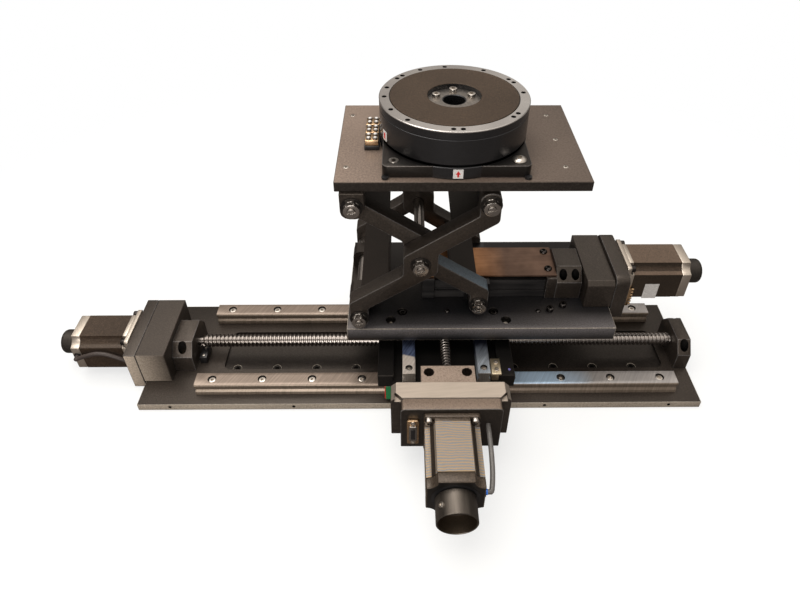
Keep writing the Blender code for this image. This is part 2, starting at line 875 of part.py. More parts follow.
def build_x_drive(stage):
    """The drive's frame looks to -X, so places along it are counted to the left."""
    drive = frame("x_drive", stage, (0.0, 0.0, X_AXIS_Z), pi)
    floor = SEAT_GAP - X_AXIS_HEIGHT
    section = shouldered(BLOCK_HALF_WIDTH, BLOCK_TOP_HALF, BLOCK_SHOULDER, BLOCK_HEIGHT, floor)
    journal = JOURNAL + 2 * TURNING_GAP
    for name, start, length in (
        ("x_bearing_block", X_BEARING_AT, X_BEARING_LENGTH),
        ("x_end_block", -X_END_AT - X_END_LENGTH, X_END_LENGTH),
    ):
        block = add(name, prism(section, "X", start, start + length, CHAMFER), drive, anodised())
        middle = start + length / 2
        cut(
            block,
            *shoulder_bores(
                BLOCK_BORE, BLOCK_BORE_SPREAD, (middle,), floor + BLOCK_BORE_FLOOR, floor + BLOCK_HEIGHT
            ),
        )
        cut(block, axis_bore(journal, start, start + length))

    bracket_end = X_BRACKET_AT + X_BRACKET_LENGTH
    half = X_BRACKET_WIDTH / 2
    bracket = add(
        "x_motor_bracket",
        box((X_BRACKET_AT, bracket_end), (-half, half), (floor, floor + X_BRACKET_HEIGHT), CHAMFER),
        drive,
        anodised(),
    )
    cut(bracket, axis_bore(COUPLING + 2 * COUPLING_CLEAR, X_BRACKET_AT, bracket_end))
    flange_at = bracket_end + SEAT_GAP
    flange_end = flange_at + X_FLANGE_LENGTH
    flange = add(
        "x_motor_flange",
        box(
            (flange_at, flange_end),
            (-half, half),
            (X_FLANGE_BOTTOM - X_AXIS_Z, floor + X_BRACKET_HEIGHT),
            CHAMFER,
        ),
        drive,
        anodised(),
    )
    cut(flange, axis_bore(FLANGE_BORE, flange_at, flange_end))
    motor_at = flange_end + SEAT_GAP
    motor("x_motor", drive, motor_at, SHORT_MOTOR)

    spin = frame("x_screw_axis", drive, (0.0, 0.0, X_AXIS_Z), pi)
    far = -X_END_AT + TURNING_GAP * 2
    near = X_BEARING_AT - TURNING_GAP * 2
    far_journal = X_END_LENGTH - CHAMFER
    bearing_end = X_BEARING_AT + X_BEARING_LENGTH
    screw("x_screw", spin, far, near, X_SCREW, bearing_end, motor_at, far_journal)
    knob("x_knob", spin, motor_at + SHORT_MOTOR + SEAT_GAP)
    return drive, motor_at


def build_x_carriage(stage):
    carriage = frame("x_carriage", stage, (CARRIAGE_X, 0.0, SADDLE_Z))
    foot = -X_BLOCK_HEIGHT
    for name, along, side in (
        ("x_block_front_left", -1, -1),
        ("x_block_front_right", 1, -1),
        ("x_block_rear_left", -1, 1),
        ("x_block_rear_right", 1, 1),
    ):
        bearing_block(
            name,
            carriage,
            "X",
            side * X_RAIL_SPACING / 2,
            foot,
            (X_RAIL_WIDTH, X_RAIL_HEIGHT),
            (X_BLOCK_WIDTH, X_BLOCK_HEIGHT - SEAT_GAP),
            X_BLOCK_CLEAR,
            along * X_BLOCK_SPACING / 2,
            X_BLOCK_LENGTH,
        )

    half = SADDLE_WIDTH / 2
    saddle = add(
        "saddle_plate",
        box((-half, half), (-SADDLE_FRONT, SADDLE_REAR), (0.0, SADDLE_THICKNESS), CHAMFER),
        carriage,
        anodised(),
    )
    inner = half - OVERRUN
    outer = inner + WALL_THICKNESS
    for side in (-1, 1):
        across = sorted((side * inner, side * outer))
        wall = box(across, (-WALL_LENGTH / 2, WALL_LENGTH / 2), (0.0, WALL_HEIGHT), CHAMFER)
        unite(saddle, wall)
    channel = NUT_CHANNEL_WIDTH / 2
    past = outer + OVERRUN
    cut(saddle, box((-past, past), (-channel, channel), (-OVERRUN, NUT_CHANNEL_DEPTH)))

    axis_z = X_AXIS_Z - SADDLE_Z
    nut = drive_nut(
        "x_nut",
        carriage,
        axis_z,
        (NUT_LENGTH, NUT_WIDTH),
        axis_z - NUT_BELOW,
        -SEAT_GAP,
        X_SCREW,
        block_steel(),
    )
    long = NUT_LENGTH / 2
    wide = channel - SEAT_GAP
    boss_top = NUT_CHANNEL_DEPTH - SEAT_GAP
    unite(nut, box((-long, long), (-wide, wide), (-NUT_BELOW / 2, boss_top), CHAMFER))
    bore = X_SCREW + 2 * TURNING_GAP
    cut(nut, rod(bore, "X", -NUT_LENGTH, NUT_LENGTH, (0.0, axis_z), ROUND_STEPS))

    for name, side in (("y_rail_left", -1), ("y_rail_right", 1)):
        rail(
            name,
            carriage,
            "Y",
            side * Y_RAIL_SPACING / 2,
            SADDLE_THICKNESS + SEAT_GAP,
            (Y_RAIL_WIDTH, Y_RAIL_HEIGHT),
            Y_RAIL_LENGTH,
            -Y_RAIL_FRONT,
            (X_RAIL_PITCH, Y_RAIL_END),
            (Y_RAIL_BORE, Y_RAIL_BORE_DEPTH),
        )
    return carriage


def build_y_drive(carriage):
    """The drive's frame looks to -Y."""
    drive = frame("y_drive", carriage, (CARRIAGE_X, 0.0, Y_AXIS_Z), -pi / 2)
    floor = SEAT_GAP - Y_AXIS_HEIGHT
    journal = JOURNAL + 2 * TURNING_GAP

    bearing_end = Y_BEARING_AT + Y_BEARING_LENGTH
    half = Y_BEARING_WIDTH / 2
    top = floor + Y_BEARING_HEIGHT
    block = add(
        "y_bearing_block",
        box((Y_BEARING_AT, bearing_end), (-half, half), (floor, top), CHAMFER),
        drive,
        anodised(),
    )
    cut(
        block,
        *shoulder_bores(
            Y_BEARING_BORE,
            Y_BEARING_BORE_SPREAD,
            (Y_BEARING_AT + Y_BEARING_BORE_AT,),
            floor + Y_BEARING_BORE_FLOOR,
            top,
        ),
    )
    cut(block, axis_bore(journal, Y_BEARING_AT, bearing_end))

    end_half = Y_END_WIDTH / 2
    end_block = add(
        "y_end_block",
        box(
            (-Y_END_AT - Y_END_LENGTH, -Y_END_AT),
            (-end_half, end_half),
            (floor, floor + Y_END_HEIGHT),
            CHAMFER,
        ),
        drive,
        anodised(),
    )
    cut(end_block, axis_bore(journal, -Y_END_AT - Y_END_LENGTH, -Y_END_AT))

    bracket_at = SADDLE_FRONT + SEAT_GAP
    bracket_end = bracket_at + Y_BRACKET_LENGTH
    y_bracket(drive, bracket_at, bracket_end)
    flange_at = bracket_end + SEAT_GAP
    flange_end = flange_at + Y_FLANGE_LENGTH
    flange_half = Y_FLANGE_WIDTH / 2
    corners = [
        (-flange_half, -Y_FLANGE_BOTTOM),
        (flange_half, -Y_FLANGE_BOTTOM),
        (flange_half, Y_FLANGE_TOP),
        (-flange_half, Y_FLANGE_TOP),
    ]
    radii = [0.0, 0.0, Y_FLANGE_RADIUS, Y_FLANGE_RADIUS]
    flange = add(
        "y_motor_flange",
        prism(rounded(corners, radii), "X", flange_at, flange_end, CHAMFER),
        drive,
        anodised(),
    )
    cut(flange, axis_bore(FLANGE_BORE, flange_at, flange_end))
    motor_at = flange_end + SEAT_GAP
    motor("y_motor", drive, motor_at, LONG_MOTOR)
    y_plug(drive, motor_at)

    spin = frame("y_screw_axis", drive, (CARRIAGE_X, 0.0, Y_AXIS_Z), -pi / 2)
    far = -Y_END_AT + TURNING_GAP * 2
    near = Y_BEARING_AT - TURNING_GAP * 2
    far_journal = Y_END_LENGTH - CHAMFER
    screw("y_screw", spin, far, near, Y_SCREW, bearing_end, motor_at, far_journal)
    cup_knob("y_knob", spin, motor_at + LONG_MOTOR + SEAT_GAP)
    return drive, motor_at


def y_bracket(drive, start, end):
    """A wide block that hooks over the saddle's end, with wings lower than its middle."""
    bottom = SADDLE_Z - Y_AXIS_Z
    half = Y_BRACKET_WIDTH / 2
    middle_half = Y_BRACKET_TOP_WIDTH / 2
    wing = bottom + Y_BRACKET_WING
    top = bottom + Y_BRACKET_TOP
    outline = [
        (-half, bottom),
        (half, bottom),
        (half, wing),
        (middle_half, top),
        (-middle_half, top),
        (-half, wing),
    ]
    bracket = add("y_motor_bracket", prism(outline, "X", start, end, CHAMFER), drive, anodised())
    for side in (-1, 1):
        edge = side * middle_half
        triangle = [
            (end - Y_BRACKET_TOP_CUT, edge + side * OVERRUN),
            (end + OVERRUN, edge + side * OVERRUN),
            (end + OVERRUN, edge - side * Y_BRACKET_TOP_CUT),
        ]
        cut(bracket, prism(triangle, "Z", wing, top + OVERRUN))
    cut(bracket, axis_bore(COUPLING + 2 * COUPLING_CLEAR, start, end))
    return bracket


def y_plug(drive, flange_face):
    """The plug on the flange beside the Y motor: a mounting plate and its shell."""
    side = -PLUG_SIDE
    plate = rectangle(PLUG_WIDTH, PLUG_HEIGHT, (side, -PLUG_DROP))
    shell = rectangle(PLUG_SHELL_WIDTH, PLUG_SHELL_HEIGHT, (side, -PLUG_DROP))
    radii = [PLUG_WIDTH / 6] * 4
    made = add(
        "y_connector",
        prism(rounded(plate, radii), "X", flange_face, flange_face + PLUG_DEPTH),
        drive,
        gold_contacts(),
    )
    raised = prism(rounded(shell, radii), "X", flange_face + CHAMFER, flange_face + PLUG_SHELL_DEPTH)
    return unite(made, raised)


def build_y_carriage(carriage):
    table = frame("y_carriage", carriage, (CARRIAGE_X, LIFT_Y, Z_PLATE_Z))
    foot = -Y_BLOCK_HEIGHT
    for name, side in (("y_block_left", -1), ("y_block_right", 1)):
        bearing_block(
            name,
            table,
            "Y",
            side * Y_RAIL_SPACING / 2,
            foot,
            (Y_RAIL_WIDTH, Y_RAIL_HEIGHT + SEAT_GAP),
            (Y_BLOCK_WIDTH, Y_BLOCK_HEIGHT - SEAT_GAP),
            Y_BLOCK_CLEAR,
            0.0,
            Y_BLOCK_LENGTH,
        )
    axis_z = Y_AXIS_Z - Z_PLATE_Z
    half = Y_NUT_WIDTH / 2
    long = Y_NUT_LENGTH / 2
    nut = add(
        "y_nut",
        box((-half, half), (-long, long), (axis_z - Y_NUT_BELOW, -SEAT_GAP), CHAMFER),
        table,
        block_steel(),
    )
    bore = Y_SCREW + 2 * TURNING_GAP
    cut(nut, rod(bore, "Y", -Y_NUT_LENGTH, Y_NUT_LENGTH, (0.0, axis_z), ROUND_STEPS))

    right = Z_PLATE_LENGTH - Z_PLATE_LEFT
    wide = Z_PLATE_WIDTH / 2
    plate = add(
        "z_base_plate",
        box((-Z_PLATE_LEFT, right), (-wide, wide), (0.0, Z_PLATE_THICKNESS), CHAMFER),
        table,
        anodised(),
    )
    tools = []
    for row in (-1, 1):
        for along in (-1, 1):
            middle = (along * Z_BORE_SPREAD / 2 - Z_BORE_OFFSET, row * (wide - Z_BORE_INSET))
            floor = Z_PLATE_THICKNESS - Z_BORE_DEPTH
            tools.append(rod(Z_BORE, "Z", floor, Z_PLATE_THICKNESS + OVERRUN, middle))
    cut(plate, *tools)
    return table


def build_z_drive(table):
    """The lift's drive, whose frame looks to +X."""
    place = (CARRIAGE_X, LIFT_Y, Z_AXIS_Z)
    drive = frame("z_drive", table, place)
    floor = SEAT_GAP - Z_AXIS_HEIGHT
    journal = JOURNAL + 2 * TURNING_GAP

    bearing_end = Z_BEARING_AT + Z_BEARING_LENGTH
    section = shouldered(
        Z_BLOCK_HALF_WIDTH, Z_BLOCK_TOP_HALF, Z_BLOCK_SHOULDER, Z_BLOCK_HEIGHT, floor
    )
    block = add(
        "z_bearing_block",
        prism(section, "X", Z_BEARING_AT, bearing_end, CHAMFER),
        drive,
        anodised(),
    )
    lug_half = GUIDE_END_WIDTH / 2
    lug = box(
        (Z_BEARING_AT - LUG_LENGTH, Z_BEARING_AT + OVERRUN),
        (-lug_half, lug_half),
        (floor, floor + GUIDE_END_HEIGHT),
        CHAMFER,
    )
    unite(block, lug)
    middle = Z_BEARING_AT + Z_BEARING_LENGTH / 2
    places = (middle - Z_BLOCK_BORE_PITCH / 2, middle + Z_BLOCK_BORE_PITCH / 2)
    cut(
        block,
        *shoulder_bores(
            Z_BLOCK_BORE, Z_BLOCK_BORE_SPREAD, places, floor + BLOCK_BORE_FLOOR, floor + Z_BLOCK_HEIGHT
        ),
    )
    cut(block, axis_bore(journal, Z_BEARING_AT - LUG_LENGTH, bearing_end))

    bracket_end = Z_BRACKET_AT + Z_BRACKET_LENGTH
    half = Z_BRACKET_WIDTH / 2
    top = floor + Z_BRACKET_HEIGHT
    outline = [
        (-half, floor),
        (half, floor),
        (half, top),
        (Z_BRACKET_BEVEL - half, top),
        (-half, top - Z_BRACKET_BEVEL),
    ]
    bracket = add(
        "z_motor_bracket",
        prism(outline, "X", Z_BRACKET_AT, bracket_end, CHAMFER),
        drive,
        anodised(),
    )
    cut(bracket, axis_bore(COUPLING + 2 * COUPLING_CLEAR, Z_BRACKET_AT, bracket_end))

    flange_at = bracket_end + SEAT_GAP
    flange_end = flange_at + Z_FLANGE_LENGTH
    low = -Z_AXIS_HEIGHT - Z_FLANGE_DROP
    corners = [(-half, low), (half, low), (half, Z_FLANGE_RISE), (-half, Z_FLANGE_RISE)]
    radii = [0.0, 0.0, Z_FLANGE_RADIUS, Z_FLANGE_RADIUS]
    flange = add(
        "z_motor_flange",
        prism(rounded(corners, radii), "X", flange_at, flange_end, CHAMFER),
        drive,
        anodised(),
    )
    cut(flange, axis_bore(FLANGE_BORE, flange_at, flange_end))
    motor_at = flange_end + SEAT_GAP
    motor("z_motor", drive, motor_at, Z_MOTOR)

    build_guide(drive, floor)
    spin = frame("z_screw_axis", drive, place)
    far = -GUIDE_LEFT + GUIDE_END_LENGTH + TURNING_GAP * 2
    near = Z_BEARING_AT - LUG_LENGTH - TURNING_GAP * 2
    far_journal = GUIDE_END_LENGTH - GUIDE_FLOOR
    screw("z_screw", spin, far, near, Z_SCREW, bearing_end, motor_at, far_journal)
    knob("z_knob", spin, motor_at + Z_MOTOR + SEAT_GAP)
    return drive


def build_guide(drive, floor):
    """A channel rail with a closed left end, and the sheet cover over it."""
    left = -GUIDE_LEFT
    inside = left + GUIDE_END_LENGTH
    right = Z_BEARING_AT - LUG_LENGTH - SEAT_GAP
    foot_half = GUIDE_FOOT_WIDTH / 2
    half = GUIDE_WIDTH / 2
    slot = GUIDE_CHANNEL / 2
    outline = [
        (-foot_half, floor),
        (foot_half, floor),
        (foot_half, floor + GUIDE_FOOT_HEIGHT),
        (half, floor + GUIDE_FOOT_HEIGHT),
        (half, floor + GUIDE_HEIGHT),
        (slot, floor + GUIDE_HEIGHT),
        (slot, floor + GUIDE_FLOOR),
        (-slot, floor + GUIDE_FLOOR),
        (-slot, floor + GUIDE_HEIGHT),
        (-half, floor + GUIDE_HEIGHT),
        (-half, floor + GUIDE_FOOT_HEIGHT),
        (-foot_half, floor + GUIDE_FOOT_HEIGHT),
    ]
    channel = add("z_guide_rail", prism(outline, "X", left + CHAMFER, right), drive, block_steel())
    end_half = GUIDE_END_WIDTH / 2
    head = box((left, inside), (-end_half, end_half), (floor, floor + GUIDE_END_HEIGHT), CHAMFER)
    unite(channel, head)
    blind = rod(
        JOURNAL + 2 * TURNING_GAP, "X", left + GUIDE_FLOOR - CHAMFER, inside + OVERRUN, steps=ROUND_STEPS
    )
    cut(channel, blind)

    cover_half = COVER_WIDTH / 2
    under = floor + GUIDE_END_HEIGHT + SEAT_GAP
    add(
        "z_guide_cover",
        box(
            (left + CHAMFER, Z_BEARING_AT - SEAT_GAP),
            (-cover_half, cover_half),
            (under, under + COVER_THICKNESS),
        ),
        drive,
        copper_sheet(),
    )


# Scissor lift


def arm_points():
    """Corners of an arm that rises to the right, about its middle pivot."""
    slope = tan(ARM_RUN_ANGLE)
    near = (ARM_RUN_OFFSET - ARM_RUN_WIDTH / 2) / cos(ARM_RUN_ANGLE)
    far = (ARM_RUN_OFFSET + ARM_RUN_WIDTH / 2) / cos(ARM_RUN_ANGLE)
    tab_in = ARM_REACH - ARM_TAB_WIDTH / 2
    tab_out = ARM_REACH + ARM_TAB_WIDTH / 2
    hub = ARM_HUB_WIDTH / 2
    end = ARM_RISE + ARM_TAB_END
    half = [
        (tab_out, end),
        (tab_in, end),
        (tab_in, slope * tab_in + far),
        (-hub, far - slope * hub),
        (-hub, -near - slope * hub),
        (-tab_out, -near - slope * tab_out),
    ]
    radii = [
        ARM_END_RADIUS,
        ARM_END_RADIUS,
        ARM_INNER_RADIUS,
        ARM_HUB_RADIUS,
        ARM_HUB_RADIUS,
        ARM_SHOULDER_RADIUS,
    ]
    return half + [(-u, -v) for u, v in half], radii * 2


def arm(name, parent, lean, face, middle):
    """One arm plate; lean is 1 for the arm that rises to the right and -1 for its mirror."""
    points, radii = arm_points()
    outline = [(lean * u + middle[0], v + middle[1]) for u, v in rounded(points, radii)]
    start, end = sorted((face, face - ARM_THICKNESS if face > 0 else face + ARM_THICKNESS))
    plate = add(name, prism(outline, "Y", start, end, CHAMFER), parent, anodised())
    bore = PIVOT + 2 * TURNING_GAP
    tools = []
    for share in (-1, 0, 1):
        centre = (middle[0] + share * lean * ARM_REACH, middle[1] + share * ARM_RISE)
        tools.append(rod(bore, "Y", start - OVERRUN, end + OVERRUN, centre, ROUND_STEPS))
    return cut(plate, *tools)


def arm_tie(name, parent, lean, end, inner, middle):
    """A plate between the front and rear arm, along the lower (-1) or upper (1) run."""
    slope = tan(ARM_RUN_ANGLE)
    offset = ARM_RUN_OFFSET / cos(ARM_RUN_ANGLE)
    normal = (-sin(ARM_RUN_ANGLE), cos(ARM_RUN_ANGLE))
    outline = []
    for reach, side in ((TIE_INNER, -1), (TIE_OUTER, -1), (TIE_OUTER, 1), (TIE_INNER, 1)):
        shift = -TIE_OFFSET + side * TIE_THICKNESS / 2
        u = end * reach + end * shift * normal[0]
        v = end * (reach * slope + offset) + end * shift * normal[1]
        outline.append((lean * u + middle[0], v + middle[1]))
    span = inner - SEAT_GAP
    return add(name, prism(outline, "Y", -span, span, CHAMFER), parent, anodised())


def pivot_shaft(name, parent, reach, middle, collars=()):
    """A through shaft with chamfered stud ends and, where it needs them, collars."""
    half = PIVOT / 2
    profile = [(-reach, 0.0), (-reach, half - CHAMFER), (CHAMFER - reach, half)]
    for start, end in collars:
        profile += [(start, half), (start, COLLAR / 2), (end, COLLAR / 2), (end, half)]
    profile += [(reach - CHAMFER, half), (reach, half - CHAMFER), (reach, 0.0)]
    return smooth(add(name, turned(profile, "Y", ROUND_STEPS, middle), parent, screw_steel()))


def build_arms(table):
    """Arm frame A turns on the lower left pivot, and frame B turns on A at the middle."""
    left_x = CARRIAGE_X - LIFT_LEFT
    a_frame = frame("lift_arm_a", table, (left_x, LIFT_Y, Z_AXIS_Z))
    centre = (ARM_REACH, ARM_RISE)
    a_inner = ARM_A_FACE - ARM_THICKNESS
    arm("arm_a_front", a_frame, 1, -ARM_A_FACE, centre)
    arm("arm_a_rear", a_frame, 1, ARM_A_FACE, centre)
    arm_tie("arm_a_lower_tie", a_frame, 1, -1, a_inner, centre)
    arm_tie("arm_a_upper_tie", a_frame, 1, 1, a_inner, centre)
    pivot_shaft("centre_shaft", a_frame, ARM_A_FACE + STUD_END, centre)

    b_frame = frame("lift_arm_b", a_frame, (left_x + ARM_REACH, LIFT_Y, Z_AXIS_Z + ARM_RISE))
    b_inner = ARM_B_FACE - ARM_THICKNESS
    origin = (0.0, 0.0)
    arm("arm_b_front", b_frame, -1, -ARM_B_FACE, origin)
    arm("arm_b_rear", b_frame, -1, ARM_B_FACE, origin)
    arm_tie("arm_b_lower_tie", b_frame, -1, -1, b_inner, origin)
    arm_tie("arm_b_upper_tie", b_frame, -1, 1, b_inner, origin)
    return a_frame, b_frame


def build_lower_pivot(table):
    """The fixed bearing of arm frame A: a forked bracket and its shaft."""
    place = (CARRIAGE_X - LIFT_LEFT, LIFT_Y, Z_AXIS_Z)
    seat = frame("lower_pivot", table, place)
    floor = SEAT_GAP - Z_AXIS_HEIGHT
    half = LOWER_EAR_WIDTH / 2
    top = LOWER_EAR_ABOVE
    bracket = add(
        "lower_pivot_bracket",
        box((-half, half), (-LOWER_EAR_OUTER, LOWER_EAR_OUTER), (floor, floor + LOWER_FOOT), CHAMFER),
        seat,
        anodised(),
    )
    ear = rounded(
        [(-half, floor + CHAMFER), (half, floor + CHAMFER), (half, top), (-half, top)],
        [0.0, 0.0, ARM_END_RADIUS, ARM_END_RADIUS],
    )
    for side in (-1, 1):
        inner_face = LOWER_EAR_OUTER - LOWER_EAR_THICKNESS
        start, end = sorted((side * LOWER_EAR_OUTER, side * inner_face))
        unite(bracket, prism(ear, "Y", start + CHAMFER, end - CHAMFER))
    bore = PIVOT + 2 * TURNING_GAP
    cut(bracket, rod(bore, "Y", -ARM_A_FACE, ARM_A_FACE, (0.0, 0.0), ROUND_STEPS))
    inner = ARM_A_FACE - ARM_THICKNESS - SEAT_GAP
    outer = LOWER_EAR_OUTER - CHAMFER + SEAT_GAP
    collars = ((-inner, -outer), (outer, inner))
    pivot_shaft("lower_pivot_shaft", seat, ARM_A_FACE + STUD_END, (0.0, 0.0), collars)


def build_lower_slider(b_frame):
    """Runs in the channel rail on the screw and carries the lower right pivot."""
    right_x = CARRIAGE_X - LIFT_LEFT + 2 * ARM_REACH
    slider = frame("lower_slider_axis", b_frame, (right_x, LIFT_Y, Z_AXIS_Z))
    half = SLIDER_LENGTH / 2
    core = GUIDE_CHANNEL / 2 - RAIL_GAP
    body = add(
        "lower_slider",
        box((-half, half), (-core, core), (-SLIDER_CORE_BELOW, SLIDER_CORE_ABOVE)),
        slider,
        block_steel(),
    )
    outer = SLIDER_CHEEK_OUTER
    unite(body, box((-half, half), (-outer, outer), (SLIDER_WING_BELOW, SLIDER_WING_ABOVE)))
    for side in (-1, 1):
        across = sorted((side * SLIDER_CHEEK_INNER, side * outer))
        unite(body, box((-half, half), across, (-SLIDER_CHEEK_BELOW, SLIDER_WING_ABOVE)))
        stud = sorted((side * (outer - OVERRUN), side * (ARM_B_FACE + STUD_END)))
        unite(body, rod(PIVOT, "Y", stud[0], stud[1], steps=ROUND_STEPS))
    bore = Z_SCREW + 2 * TURNING_GAP
    cut(body, rod(bore, "X", -half - OVERRUN, half + OVERRUN, steps=ROUND_STEPS))
    return slider


def build_upper_slider(a_frame):
    """Runs under the top plate and carries the upper right pivot."""
    right_x = CARRIAGE_X - LIFT_LEFT + 2 * ARM_REACH
    slider = frame("upper_slider_axis", a_frame, (right_x, LIFT_Y, Z_AXIS_Z + 2 * ARM_RISE))
    half = UPPER_SLIDER_LENGTH / 2
    inner = ARM_A_FACE - ARM_THICKNESS - SEAT_GAP
    tongue_bottom = TOP_ABOVE_PIVOT - TONGUE_HEIGHT
    body = add(
        "upper_slider",
        box((-half, half), (-inner, inner), (-UPPER_SLIDER_BELOW, tongue_bottom - SEAT_GAP)),
        slider,
        block_steel(),
    )
    groove = TONGUE_WIDTH / 2 + RAIL_GAP
    for side in (-1, 1):
        across = sorted((side * groove, side * (groove + UPPER_SLIDER_CHEEK)))
        unite(body, box((-half, half), across, (0.0, TOP_ABOVE_PIVOT - SEAT_GAP)))
        stud = sorted((side * (inner - OVERRUN), side * (ARM_A_FACE + STUD_END)))
        unite(body, rod(PIVOT, "Y", stud[0], stud[1], steps=ROUND_STEPS))
    return slider


def build_top(b_frame):
    """Top plate, its fixed hinge ears and the shaft through them; rides on arm frame B."""
    left_x = CARRIAGE_X - LIFT_LEFT
    top = frame("lift_top", b_frame, (left_x, LIFT_Y, Z_AXIS_Z + 2 * ARM_RISE))
    under = TOP_ABOVE_PIVOT
    over = under + TOP_THICKNESS
    long = (-TOP_LEFT, TOP_LENGTH - TOP_LEFT)
    wide = (-TOP_FRONT, TOP_WIDTH - TOP_FRONT)
    plate = add("top_plate", box(long, wide, (under, over), CHAMFER), top, anodised())
    half = TONGUE_WIDTH / 2
    along = (TONGUE_AT, TONGUE_AT + TONGUE_LENGTH)
    unite(plate, box(along, (-half, half), (under - TONGUE_HEIGHT, under + CHAMFER)))
    places = [(TOP_HOLE_COLUMNS[0], TOP_HOLE_ROWS[0]), (TOP_HOLE_COLUMNS[0], TOP_HOLE_ROWS[2])]
    places += [(TOP_HOLE_COLUMNS[1], row) for row in TOP_HOLE_ROWS]
    holes = []
    for along, row in places:
        middle = (along - TOP_LEFT, row - TOP_FRONT)
        holes.append(rod(TOP_HOLE, "Z", over - TOP_HOLE_DEPTH, over + OVERRUN, middle))
    cut(plate, *holes)

    ear_half = UPPER_EAR_WIDTH / 2
    bore = PIVOT + 2 * TURNING_GAP
    for name, side in (("upper_hinge_front", -1), ("upper_hinge_rear", 1)):
        inner_face = UPPER_EAR_OUTER - UPPER_EAR_THICKNESS
        start, end = sorted((side * UPPER_EAR_OUTER, side * inner_face))
        outline = rounded(
            [
                (-ear_half, -UPPER_EAR_BELOW),
                (ear_half, -UPPER_EAR_BELOW),
                (ear_half, under - SEAT_GAP),
                (-ear_half, under - SEAT_GAP),
            ],
            [ARM_END_RADIUS, ARM_END_RADIUS, 0.0, 0.0],
        )
        ear = add(name, prism(outline, "Y", start, end, CHAMFER), top, anodised())
        cut(ear, rod(bore, "Y", start - OVERRUN, end + OVERRUN, (0.0, 0.0), ROUND_STEPS))
    pivot_shaft("upper_pivot_shaft", top, UPPER_EAR_OUTER + STUD_END, (0.0, 0.0))
    return top, over


# Rotary stage


def build_rotary(top, over):
    place = (
        CARRIAGE_X - LIFT_LEFT + ROTARY_FROM_PIVOT,
        LIFT_Y + ROTARY_FROM_AXIS,
        Z_AXIS_Z + 2 * ARM_RISE + over + SEAT_GAP,
    )
    seat = frame("rotary_seat", top, place)
    half = ROTARY_FLANGE / 2
    square = rounded(rectangle(ROTARY_FLANGE, ROTARY_FLANGE), [ROTARY_FLANGE_RADIUS] * 4)
    base = add("rotary_base", prism(square, "Z", 0.0, ROTARY_FLANGE_HEIGHT, CHAMFER), seat, anodised())
    radius = ROTARY_BODY / 2
    spigot = TABLE_BORE / 2 + TABLE_SPIGOT_WALL + TURNING_GAP
    body = [
        (0.0, spigot),
        (0.0, radius - CHAMFER),
        (CHAMFER, radius),
        (ROTARY_BODY_HEIGHT - CHAMFER, radius),
        (ROTARY_BODY_HEIGHT, radius - CHAMFER),
        (ROTARY_BODY_HEIGHT, spigot),
    ]
    past = ROTARY_FLANGE_HEIGHT + OVERRUN
    cut(base, rod(2 * radius - OVERRUN, "Z", -OVERRUN, past, steps=ROUND_STEPS))
    unite(base, turned(body, "Z", TABLE_STEPS))
    holes = []
    for u in (-1, 1):
        for v in (-1, 1):
            middle = (u * ROTARY_FLANGE_HOLE_AT, v * ROTARY_FLANGE_HOLE_AT)
            holes.append(rod(ROTARY_FLANGE_HOLE, "Z", -OVERRUN, past, middle))
    smooth(cut(base, *holes))
    rotary_sockets(seat, radius)
    build_table(seat, place)


def rotary_sockets(seat, radius):
    """Three sockets side by side on a plate at the body's left side."""
    low = SEAT_GAP
    high = low + SOCKET_HEIGHT
    face = -(radius + SEAT_GAP)
    length = SOCKET_PITCH * SOCKET_COUNT
    made = add(
        "rotary_connector",
        box((face - SOCKET_PLATE, face), (-SOCKET_FRONT, length - SOCKET_FRONT), (low, high), CHAMFER),
        seat,
        gold_contacts(),
    )
    outer = face - SOCKET_PLATE - SOCKET_DEPTH
    for place in range(SOCKET_COUNT):
        front = SOCKET_PITCH * place - SOCKET_FRONT + SOCKET_SHELL_GAP / 2
        rear = front + SOCKET_PITCH - SOCKET_SHELL_GAP
        shell = box((outer, face - CHAMFER), (front, rear), (low + SOCKET_RIM, high - SOCKET_RIM))
        unite(made, shell)
    return made


def build_table(seat, place):
    """The turning table: a plain disc inside a bright ring, with a spigot below."""
    low = ROTARY_BODY_HEIGHT + SEAT_GAP
    turn = frame("rotary_axis", seat, (place[0], place[1], place[2] + low))
    radius = TABLE / 2
    disc = TABLE_DISC / 2
    bore = TABLE_BORE / 2
    recess = TABLE_RECESS / 2
    top = TABLE_HEIGHT
    profile = [
        (0.0, bore + TABLE_SPIGOT_WALL),
        (0.0, radius - CHAMFER),
        (CHAMFER, radius),
        (top - CHAMFER, radius),
        (top, radius - CHAMFER),
        (top, disc + TABLE_GROOVE),
        (top - TABLE_GROOVE, disc + TABLE_GROOVE),
        (top - TABLE_GROOVE, disc),
        (top + TABLE_DISC_RISE, disc),
        (top + TABLE_DISC_RISE, recess),
        (top - TABLE_RECESS_DEPTH, recess),
        (top - TABLE_RECESS_DEPTH, bore),
        (-TABLE_SPIGOT_DEPTH, bore),
        (-TABLE_SPIGOT_DEPTH, bore + TABLE_SPIGOT_WALL),
    ]
    table = add("rotary_table", turned(profile, "Z", TABLE_STEPS), turn, anodised())
    angles = list(TABLE_HOLE_SINGLES)
    for pair in TABLE_HOLE_PAIRS:
        angles += [pair - TABLE_HOLE_PAIR / 2, pair + TABLE_HOLE_PAIR / 2]
    holes = []
    for angle in angles:
        reach = TABLE_HOLE_CIRCLE / 2
        middle = (reach * cos(radians(angle)), reach * sin(radians(angle)))
        floor = top - TABLE_HOLE_DEPTH
        holes.append(rod(TABLE_HOLE, "Z", floor, top + OVERRUN, middle, steps=SMALL_HOLE_STEPS))
    smooth(cut(table, *holes))


# Motor leads


